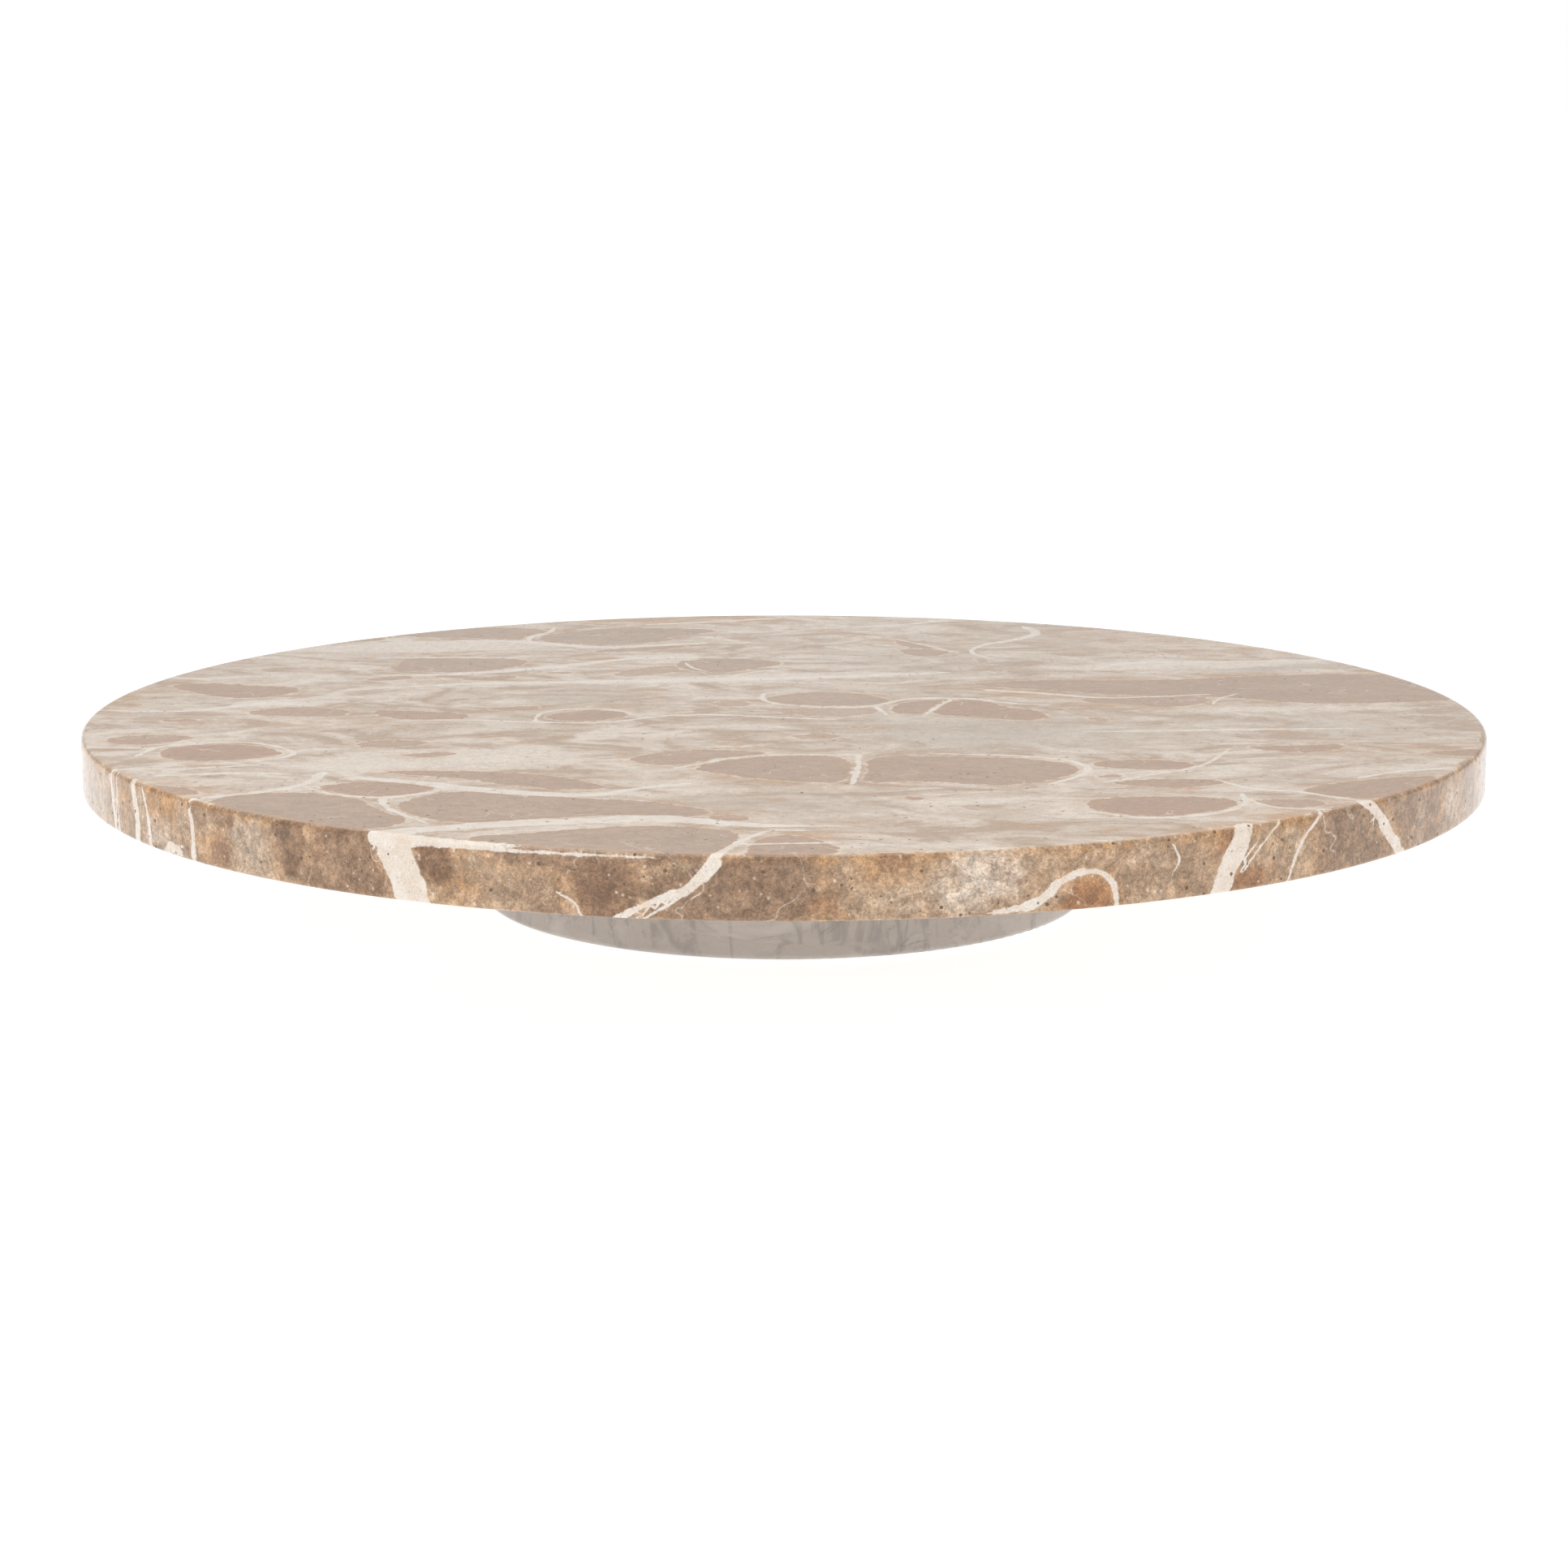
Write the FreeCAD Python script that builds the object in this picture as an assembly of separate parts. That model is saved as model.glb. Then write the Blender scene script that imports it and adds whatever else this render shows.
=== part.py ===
"""Round stone lazy susan: a wide marble plate that turns on a small marble base.

The two stones are joined by an aluminium ring bearing that sits in a pocket in the base. Its outer ring
is screwed down to the base and its inner ring is screwed up to the plate, both into brass inserts that
are glued into the stone. Lengths are millimetres. The axis of rotation is Z, and Z = 0 is the table.
"""

import math
import os

import FreeCAD, Part

# The plate, which is the stone disc that is turned by hand
PLATE_DIAMETER = 400.0
PLATE_THICKNESS = 16.0
PLATE_TOP_EASE = 1.5  # radius of the softened upper edge
PLATE_BOTTOM_EASE = 1.0

# The base, which is the stone disc that stands on the table
BASE_DIAMETER = 175.0
BASE_THICKNESS = 34.0
BASE_EASE = 1.5
RUNNING_GAP = 3.0  # open height between the base and the plate

# The ring bearing
BEARING_OUTER_DIAMETER = 140.0
BEARING_WALL = 12.25  # radial width of each ring
RING_OFFSET = 1.0  # how far the inner ring stands above the outer one
RING_GAP = 1.5  # radial gap between the two rings
RING_CHAMFER = 0.4
POCKET_CLEARANCE = 0.5  # radial, around the outer ring

# The balls and the strip that spaces them
BALL_DIAMETER = 5.0
BALL_COUNT = 32
RACE_CLEARANCE = 0.1  # radial, between a ball and its groove
CAGE_CLEARANCE = 0.2  # radial, between the cage and either ring
CAGE_END_CLEARANCE = 0.2
CAGE_WINDOW_CLEARANCE = 0.15  # radial, around each ball
CAGE_RAIL = 0.65  # height of the strip above and below each window

# The hole through which the balls are loaded, and its plug
FILL_HOLE_CLEARANCE = 0.25
FILL_HOLE_ANGLE = 22.5
PLUG_SIDE_CLEARANCE = 0.05
PLUG_END_CLEARANCE = 0.4
PLUG_SLOT_WIDTH = 0.8
PLUG_SLOT_DEPTH = 1.0

# Countersunk socket screws, size M4
SCREW_DIAMETER = 4.0
SCREW_LENGTH = 14.0
SCREW_HEAD_DIAMETER = 8.0
SCREW_SOCKET_ACROSS_FLATS = 2.5
SCREW_SOCKET_DEPTH = 1.5
SCREW_TIP_CHAMFER = 0.5
SCREW_HOLE_CLEARANCE = 0.25  # radial, in the rings
COUNTERSINK_CLEARANCE = 0.05
SCREW_HEAD_SINK = 0.1  # how far a head sits below its ring's face

# Brass inserts
INSERT_DIAMETER = 7.6
INSERT_LENGTH = 9.0
INSERT_THREAD_CLEARANCE = 0.1
INSERT_GROOVE_WIDTH = 1.0
INSERT_GROOVE_DEPTH = 0.5
INSERT_KNURLS = 16
INSERT_KNURL_DEPTH = 0.35
INSERT_LIP = 0.8  # height of the plain band at the mouth
GLUE_GAP = 0.2  # radial and at the bottom of each insert's hole

# Screws are shared evenly around each ring
SCREWS_PER_RING = 4
PLATE_SCREW_ANGLE = 0.0
BASE_SCREW_ANGLE = 45.0

# The hole through the base that a key reaches the plate's screws through, and its push-in cover
ACCESS_HOLE_DIAMETER = 12.0
COVER_FLANGE_DIAMETER = 16.0
COVER_FLANGE_THICKNESS = 1.2
COVER_RECESS_CLEARANCE = 0.3
COVER_STEM_LENGTH = 9.0
COVER_STEM_CLEARANCE = 0.3
COVER_RIBS = 3
COVER_RIB_HEIGHT = 0.8
COVER_RIB_CLEARANCE = 0.05
COVER_WALL = 1.6

# Rubber feet under the base
FOOT_COUNT = 4
FOOT_DIAMETER = 14.0
FOOT_HEIGHT = 2.5
FOOT_SEAT_DEPTH = 1.0
FOOT_SEAT_CLEARANCE = 0.3
FOOT_EASE = 0.5
FOOT_EDGE_DISTANCE = 19.5  # from the base's side to the centre of a foot
FOOT_ANGLE = 45.0

# The rings are as high as the cage needs, and their faces are offset from each other
CAGE_HEIGHT = BALL_DIAMETER + 2 * (CAGE_WINDOW_CLEARANCE + CAGE_RAIL)
BEARING_RING_HEIGHT = CAGE_HEIGHT + 2 * CAGE_END_CLEARANCE + RING_OFFSET

# Heights, from the table upwards
BASE_BOTTOM = FOOT_HEIGHT - FOOT_SEAT_DEPTH
BASE_TOP = BASE_BOTTOM + BASE_THICKNESS
PLATE_BOTTOM = BASE_TOP + RUNNING_GAP
PLATE_TOP = PLATE_BOTTOM + PLATE_THICKNESS
INNER_RING_BOTTOM = PLATE_BOTTOM - BEARING_RING_HEIGHT
OUTER_RING_BOTTOM = INNER_RING_BOTTOM - RING_OFFSET
OUTER_RING_TOP = OUTER_RING_BOTTOM + BEARING_RING_HEIGHT
POCKET_FLOOR = OUTER_RING_BOTTOM
BALL_HEIGHT = (OUTER_RING_BOTTOM + PLATE_BOTTOM) / 2

# Radii
OUTER_RING_OUTER = BEARING_OUTER_DIAMETER / 2
OUTER_RING_INNER = OUTER_RING_OUTER - BEARING_WALL
INNER_RING_OUTER = OUTER_RING_INNER - RING_GAP
INNER_RING_INNER = INNER_RING_OUTER - BEARING_WALL
BALL_CIRCLE = (OUTER_RING_INNER + INNER_RING_OUTER) / 2
BALL_RADIUS = BALL_DIAMETER / 2
RACE_RADIUS = BALL_RADIUS + RACE_CLEARANCE
FOOT_CIRCLE = BASE_DIAMETER / 2 - FOOT_EDGE_DISTANCE
# Each screw circle runs through the middle of the wall that the race leaves
PLATE_SCREW_CIRCLE = (INNER_RING_INNER + BALL_CIRCLE - RACE_RADIUS) / 2
BASE_SCREW_CIRCLE = (OUTER_RING_OUTER + BALL_CIRCLE + RACE_RADIUS) / 2
# Each insert's hole also leaves room for the tip of its screw
SCREW_REACH = SCREW_LENGTH + SCREW_HEAD_SINK - BEARING_RING_HEIGHT
INSERT_HOLE_DEPTH = max(INSERT_LENGTH, SCREW_REACH) + GLUE_GAP
INSERT_HOLE_RADIUS = INSERT_DIAMETER / 2 + GLUE_GAP

UP = FreeCAD.Vector(0, 0, 1)
OVERCUT = 1.0  # how far a cutting tool stands clear of the face that it cuts


def around(radius, angle, height=0.0):
    """The point at an angle in degrees on a circle about the axis."""
    turn = math.radians(angle)
    return FreeCAD.Vector(radius * math.cos(turn), radius * math.sin(turn), height)


def evenly(count, first):
    """The angles that share a full turn, starting with the first."""
    return [first + 360.0 * index / count for index in range(count)]


def cylinder(radius, bottom, top, place=FreeCAD.Vector()):
    """An upright cylinder between two heights."""
    start = FreeCAD.Vector(place.x, place.y, bottom)
    return Part.makeCylinder(radius, top - bottom, start, UP)


def spun(outline):
    """The solid that a closed outline of (radius, height) points sweeps in a full turn."""
    points = [FreeCAD.Vector(radius, 0, height) for radius, height in outline]
    face = Part.Face(Part.makePolygon(points + points[:1]))
    return face.revolve(FreeCAD.Vector(), UP, 360)


def edges_at(shape, radius, height):
    """The round edges about the axis that have this radius and height."""
    found = []
    for edge in shape.Edges:
        curve = edge.Curve
        if isinstance(curve, Part.Circle) and abs(curve.Radius - radius) < 1e-6:
            if abs(curve.Center.z - height) < 1e-6:
                found.append(edge)
    return found


def eased_disc(radius, bottom, top, bottom_ease, top_ease):
    """A disc whose two outer edges are rounded."""
    disc = cylinder(radius, bottom, top)
    disc = disc.makeFillet(bottom_ease, edges_at(disc, radius, bottom))
    return disc.makeFillet(top_ease, edges_at(disc, radius, top))


def hexagon(across_flats, place, bottom, top):
    """An upright hexagonal prism."""
    corner = across_flats / math.sqrt(3)
    points = [place + around(corner, angle) for angle in evenly(6, 0)]
    rim = [FreeCAD.Vector(point.x, point.y, bottom) for point in points]
    face = Part.Face(Part.makePolygon(rim + rim[:1]))
    return face.extrude(FreeCAD.Vector(0, 0, top - bottom))


def upside_down(shape):
    """The shape turned over about the X axis, so that what pointed up points down."""
    turned = shape.copy()
    turned.rotate(FreeCAD.Vector(), FreeCAD.Vector(1, 0, 0), 180)
    return turned


def moved(shape, place):
    """A copy of the shape, moved from the origin to a place."""
    copy = shape.copy()
    copy.translate(place)
    return copy


def make_plate():
    """The stone plate, with a blind hole in its underside for each insert."""
    plate = eased_disc(
        PLATE_DIAMETER / 2, PLATE_BOTTOM, PLATE_TOP, PLATE_BOTTOM_EASE, PLATE_TOP_EASE
    )
    for angle in evenly(SCREWS_PER_RING, PLATE_SCREW_ANGLE):
        place = around(PLATE_SCREW_CIRCLE, angle)
        hole_top = PLATE_BOTTOM + INSERT_HOLE_DEPTH
        plate = plate.cut(cylinder(INSERT_HOLE_RADIUS, PLATE_BOTTOM - OVERCUT, hole_top, place))
    return plate


def make_base():
    """The stone base: a bearing pocket above, foot seats below, and the holes between them."""
    base = eased_disc(BASE_DIAMETER / 2, BASE_BOTTOM, BASE_TOP, BASE_EASE, BASE_EASE)
    pocket_radius = OUTER_RING_OUTER + POCKET_CLEARANCE
    base = base.cut(cylinder(pocket_radius, POCKET_FLOOR, BASE_TOP + OVERCUT))
    for angle in evenly(SCREWS_PER_RING, BASE_SCREW_ANGLE):
        place = around(BASE_SCREW_CIRCLE, angle)
        hole_bottom = POCKET_FLOOR - INSERT_HOLE_DEPTH
        base = base.cut(cylinder(INSERT_HOLE_RADIUS, hole_bottom, POCKET_FLOOR + OVERCUT, place))
    for angle in evenly(FOOT_COUNT, FOOT_ANGLE):
        seat_radius = FOOT_DIAMETER / 2 + FOOT_SEAT_CLEARANCE
        seat_top = BASE_BOTTOM + FOOT_SEAT_DEPTH
        place = around(FOOT_CIRCLE, angle)
        base = base.cut(cylinder(seat_radius, BASE_BOTTOM - OVERCUT, seat_top, place))
    access = around(PLATE_SCREW_CIRCLE, PLATE_SCREW_ANGLE)
    bottom = BASE_BOTTOM - OVERCUT
    base = base.cut(cylinder(ACCESS_HOLE_DIAMETER / 2, bottom, POCKET_FLOOR + OVERCUT, access))
    recess_radius = COVER_FLANGE_DIAMETER / 2 + COVER_RECESS_CLEARANCE
    recess_top = BASE_BOTTOM + COVER_FLANGE_THICKNESS + COVER_RECESS_CLEARANCE
    return base.cut(cylinder(recess_radius, bottom, recess_top, access))


def bearing_ring(inner, outer, bottom):
    """A ring with chamfered edges and a round race turned into it at the ball circle."""
    top = bottom + BEARING_RING_HEIGHT
    bevel = RING_CHAMFER
    outline = [
        (inner + bevel, bottom),
        (outer - bevel, bottom),
        (outer, bottom + bevel),
        (outer, top - bevel),
        (outer - bevel, top),
        (inner + bevel, top),
        (inner, top - bevel),
        (inner, bottom + bevel),
    ]
    race = Part.makeTorus(BALL_CIRCLE, RACE_RADIUS, FreeCAD.Vector(0, 0, BALL_HEIGHT), UP)
    return spun(outline).cut(race)


def screw_clearance():
    """The cutter for one countersunk hole: mouth at the origin, running down the axis."""
    head = SCREW_HEAD_DIAMETER / 2 + COUNTERSINK_CLEARANCE
    hole = SCREW_DIAMETER / 2 + SCREW_HOLE_CLEARANCE
    mouth = -SCREW_HEAD_SINK
    outline = [
        (0, OVERCUT),
        (head, OVERCUT),
        (head, mouth),
        (hole, mouth - (head - hole)),
        (hole, -BEARING_RING_HEIGHT - OVERCUT),
        (0, -BEARING_RING_HEIGHT - OVERCUT),
    ]
    return spun(outline)


def fill_hole(radius, start):
    """A round bar along the ball loading hole, from a distance off the axis outwards."""
    direction = around(1, FILL_HOLE_ANGLE)
    length = OUTER_RING_OUTER - start
    return Part.makeCylinder(radius, length, around(start, FILL_HOLE_ANGLE, BALL_HEIGHT), direction)


def make_outer_ring():
    """The fixed ring, countersunk from above, with the ball loading hole in its side."""
    ring = bearing_ring(OUTER_RING_INNER, OUTER_RING_OUTER, OUTER_RING_BOTTOM)
    for angle in evenly(SCREWS_PER_RING, BASE_SCREW_ANGLE):
        ring = ring.cut(moved(screw_clearance(), around(BASE_SCREW_CIRCLE, angle, OUTER_RING_TOP)))
    return ring.cut(fill_hole(BALL_RADIUS + FILL_HOLE_CLEARANCE, BALL_CIRCLE))


def make_inner_ring():
    """The turning ring, countersunk from below."""
    ring = bearing_ring(INNER_RING_INNER, INNER_RING_OUTER, INNER_RING_BOTTOM)
    cutter = upside_down(screw_clearance())
    for angle in evenly(SCREWS_PER_RING, PLATE_SCREW_ANGLE):
        ring = ring.cut(moved(cutter, around(PLATE_SCREW_CIRCLE, angle, INNER_RING_BOTTOM)))
    return ring


def make_balls():
    """The set of balls, evenly spaced around the race."""
    places = [around(BALL_CIRCLE, angle, BALL_HEIGHT) for angle in evenly(BALL_COUNT, 0)]
    return Part.makeCompound([Part.makeSphere(BALL_RADIUS, place) for place in places])


def make_cage():
    """The thin strip between the rings, with a round window for each ball."""
    inner = INNER_RING_OUTER + CAGE_CLEARANCE
    outer = OUTER_RING_INNER - CAGE_CLEARANCE
    bottom = BALL_HEIGHT - CAGE_HEIGHT / 2
    top = BALL_HEIGHT + CAGE_HEIGHT / 2
    strip = cylinder(outer, bottom, top).cut(cylinder(inner, bottom - OVERCUT, top + OVERCUT))
    window = BALL_RADIUS + CAGE_WINDOW_CLEARANCE
    length = OUTER_RING_OUTER - INNER_RING_INNER
    bars = []
    for angle in evenly(BALL_COUNT, 0):
        start = around(INNER_RING_INNER, angle, BALL_HEIGHT)
        bars.append(Part.makeCylinder(window, length, start, around(1, angle)))
    return strip.cut(bars)


def make_fill_plug():
    """The slotted plug that closes the ball loading hole."""
    radius = BALL_RADIUS + FILL_HOLE_CLEARANCE - PLUG_SIDE_CLEARANCE
    plug = fill_hole(radius, BALL_CIRCLE + RACE_RADIUS + PLUG_END_CLEARANCE)
    width = 2 * (radius + OVERCUT)
    slot = Part.makeBox(2 * PLUG_SLOT_DEPTH, width, PLUG_SLOT_WIDTH)
    slot.translate(FreeCAD.Vector(-PLUG_SLOT_DEPTH, -width / 2, -PLUG_SLOT_WIDTH / 2))
    slot.rotate(FreeCAD.Vector(), UP, FILL_HOLE_ANGLE)
    slot.translate(around(OUTER_RING_OUTER, FILL_HOLE_ANGLE, BALL_HEIGHT))
    side = cylinder(OUTER_RING_OUTER, OUTER_RING_BOTTOM, OUTER_RING_TOP)
    return plug.common(side).cut(slot)


def screw():
    """A countersunk socket screw: head's face at the origin, shank pointing down."""
    head = SCREW_HEAD_DIAMETER / 2
    shank = SCREW_DIAMETER / 2
    outline = [
        (0, 0),
        (head, 0),
        (shank, -(head - shank)),
        (shank, -SCREW_LENGTH + SCREW_TIP_CHAMFER),
        (shank - SCREW_TIP_CHAMFER, -SCREW_LENGTH),
        (0, -SCREW_LENGTH),
    ]
    socket = hexagon(SCREW_SOCKET_ACROSS_FLATS, FreeCAD.Vector(), -SCREW_SOCKET_DEPTH, OVERCUT)
    return spun(outline).cut(socket)


def insert():
    """A threaded insert: mouth at the origin, body pointing down, grooved and knurled for glue."""
    outer = INSERT_DIAMETER / 2
    waist = outer - INSERT_GROOVE_DEPTH
    bore = SCREW_DIAMETER / 2 + INSERT_THREAD_CLEARANCE
    middle = INSERT_LENGTH / 2
    half = INSERT_GROOVE_WIDTH / 2
    outline = [
        (bore, 0),
        (outer, 0),
        (outer, -middle + half),
        (waist, -middle + half),
        (waist, -middle - half),
        (outer, -middle - half),
        (outer, -INSERT_LENGTH),
        (bore, -INSERT_LENGTH),
    ]
    # A square prism standing on its edge cuts each knurl, below a plain lip
    side = math.sqrt(2) * INSERT_KNURL_DEPTH
    notches = []
    for angle in evenly(INSERT_KNURLS, 0):
        notch = Part.makeBox(side, side, INSERT_LENGTH - INSERT_LIP + OVERCUT)
        notch.translate(FreeCAD.Vector(-side / 2, -side / 2, 0))
        notch.rotate(FreeCAD.Vector(), UP, angle + 45)
        notches.append(moved(notch, around(outer, angle, -INSERT_LENGTH - OVERCUT)))
    return spun(outline).cut(notches)


def make_access_cover():
    """The push-in plastic cover of the access hole: a flange, a hollow stem and gripping ribs."""
    hole = ACCESS_HOLE_DIAMETER / 2
    stem = hole - COVER_STEM_CLEARANCE
    rib = hole - COVER_RIB_CLEARANCE
    flange = COVER_FLANGE_DIAMETER / 2
    bottom = BASE_BOTTOM + COVER_RECESS_CLEARANCE
    flange_top = bottom + COVER_FLANGE_THICKNESS
    top = flange_top + COVER_STEM_LENGTH
    cover = cylinder(flange, bottom, flange_top).fuse(cylinder(stem, bottom, top))
    pitch = COVER_STEM_LENGTH / (COVER_RIBS + 1)
    for index in range(COVER_RIBS):
        middle = flange_top + pitch * (index + 1)
        half = COVER_RIB_HEIGHT / 2
        outline = [(0, middle - half), (rib, middle - half), (stem, middle + half), (0, middle + half)]
        cover = cover.fuse(spun(outline))
    cover = cover.cut(cylinder(stem - COVER_WALL, flange_top, top + OVERCUT)).removeSplitter()
    return moved(cover, around(PLATE_SCREW_CIRCLE, PLATE_SCREW_ANGLE))


def make_foot(angle):
    """One rubber foot in its seat, standing on the table."""
    foot = cylinder(FOOT_DIAMETER / 2, 0, FOOT_HEIGHT)
    foot = foot.makeFillet(FOOT_EASE, edges_at(foot, FOOT_DIAMETER / 2, 0))
    return moved(foot, around(FOOT_CIRCLE, angle))


def make_all():
    """Every piece of the lazy susan, by name."""
    pieces = {
        "top_plate": make_plate(),
        "base": make_base(),
        "bearing_outer_ring": make_outer_ring(),
        "bearing_inner_ring": make_inner_ring(),
        "bearing_balls": make_balls(),
        "ball_cage": make_cage(),
        "ball_fill_plug": make_fill_plug(),
        "access_hole_cover": make_access_cover(),
    }
    for number, angle in enumerate(evenly(SCREWS_PER_RING, PLATE_SCREW_ANGLE), 1):
        head = around(PLATE_SCREW_CIRCLE, angle, INNER_RING_BOTTOM + SCREW_HEAD_SINK)
        mouth = around(PLATE_SCREW_CIRCLE, angle, PLATE_BOTTOM)
        pieces[f"plate_screw_{number}"] = moved(upside_down(screw()), head)
        pieces[f"plate_insert_{number}"] = moved(upside_down(insert()), mouth)
    for number, angle in enumerate(evenly(SCREWS_PER_RING, BASE_SCREW_ANGLE), 1):
        head = around(BASE_SCREW_CIRCLE, angle, OUTER_RING_TOP - SCREW_HEAD_SINK)
        mouth = around(BASE_SCREW_CIRCLE, angle, POCKET_FLOOR)
        pieces[f"base_screw_{number}"] = moved(screw(), head)
        pieces[f"base_insert_{number}"] = moved(insert(), mouth)
    for number, angle in enumerate(evenly(FOOT_COUNT, FOOT_ANGLE), 1):
        pieces[f"rubber_foot_{number}"] = make_foot(angle)
    return pieces


def main():
    """Builds every piece and writes each to its own STEP file."""
    os.makedirs("parts", exist_ok=True)
    for name, shape in make_all().items():
        shape.exportStep(f"parts/{name}.step")
        print(name, len(shape.Solids), "solid(s)", round(shape.Volume, 1), "mm3")


main()
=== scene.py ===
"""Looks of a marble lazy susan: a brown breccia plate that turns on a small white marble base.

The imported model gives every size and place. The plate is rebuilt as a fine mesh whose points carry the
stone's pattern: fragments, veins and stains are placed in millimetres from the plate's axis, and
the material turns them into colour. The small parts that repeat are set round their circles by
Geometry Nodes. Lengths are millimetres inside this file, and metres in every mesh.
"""

import logging
import math
from dataclasses import dataclass, field
from enum import Enum
from typing import Callable, Iterable, Sequence

import bpy
import numpy as np
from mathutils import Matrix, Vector
from mathutils.geometry import delaunay_2d_cdt


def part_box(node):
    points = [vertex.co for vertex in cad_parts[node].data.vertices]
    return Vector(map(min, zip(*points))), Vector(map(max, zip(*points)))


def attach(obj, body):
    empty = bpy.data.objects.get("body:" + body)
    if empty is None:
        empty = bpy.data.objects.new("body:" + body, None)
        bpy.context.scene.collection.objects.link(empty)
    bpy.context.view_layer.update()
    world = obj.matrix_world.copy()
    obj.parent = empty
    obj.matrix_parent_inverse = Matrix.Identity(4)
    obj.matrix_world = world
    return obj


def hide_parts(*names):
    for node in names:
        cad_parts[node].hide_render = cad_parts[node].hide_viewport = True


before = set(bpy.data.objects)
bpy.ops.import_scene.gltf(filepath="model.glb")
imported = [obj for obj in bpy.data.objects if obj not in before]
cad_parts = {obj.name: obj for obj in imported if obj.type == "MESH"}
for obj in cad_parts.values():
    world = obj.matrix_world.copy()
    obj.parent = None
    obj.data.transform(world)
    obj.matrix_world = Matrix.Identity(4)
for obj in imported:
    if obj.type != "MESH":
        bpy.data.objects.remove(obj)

log = logging.getLogger("lazy_susan")

MM = 0.001
FAR = 60.0  # a distance that stands for "nothing near"
Point = tuple[float, float]
Socket = bpy.types.NodeSocket


# ---------------------------------------------------------------------------------------------------------
# The plate's stone, listed
# ---------------------------------------------------------------------------------------------------------


class Tint(Enum):
    """What the stains in the ground of the stone are made of. The ochre one also holds the painted highlight
    along the plate's arris.
    """

    CREAM = 0
    OCHRE = 1
    GREY = 2


@dataclass(frozen=True)
class Clast:
    """A fragment of darker stone: its outline, how dark it is and how red, both from 0 to 1."""

    outline: tuple[Point, ...]
    tone: float = 0.6
    red: float = 0.3


@dataclass(frozen=True)
class Vein:
    """A calcite vein: the points that it runs through, each with the vein's half width there. Two lines on
    the rim are drawn the same way but paint a highlight along the arris.
    """

    course: tuple[tuple[float, float, float], ...]


@dataclass(frozen=True)
class Stain:
    """A soft patch of colour: its centre, its two radii, how far it is turned and how strong it is."""

    tint: Tint
    x: float
    y: float
    long: float
    short: float
    angle: float = 0.0
    strength: float = 1.0


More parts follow.
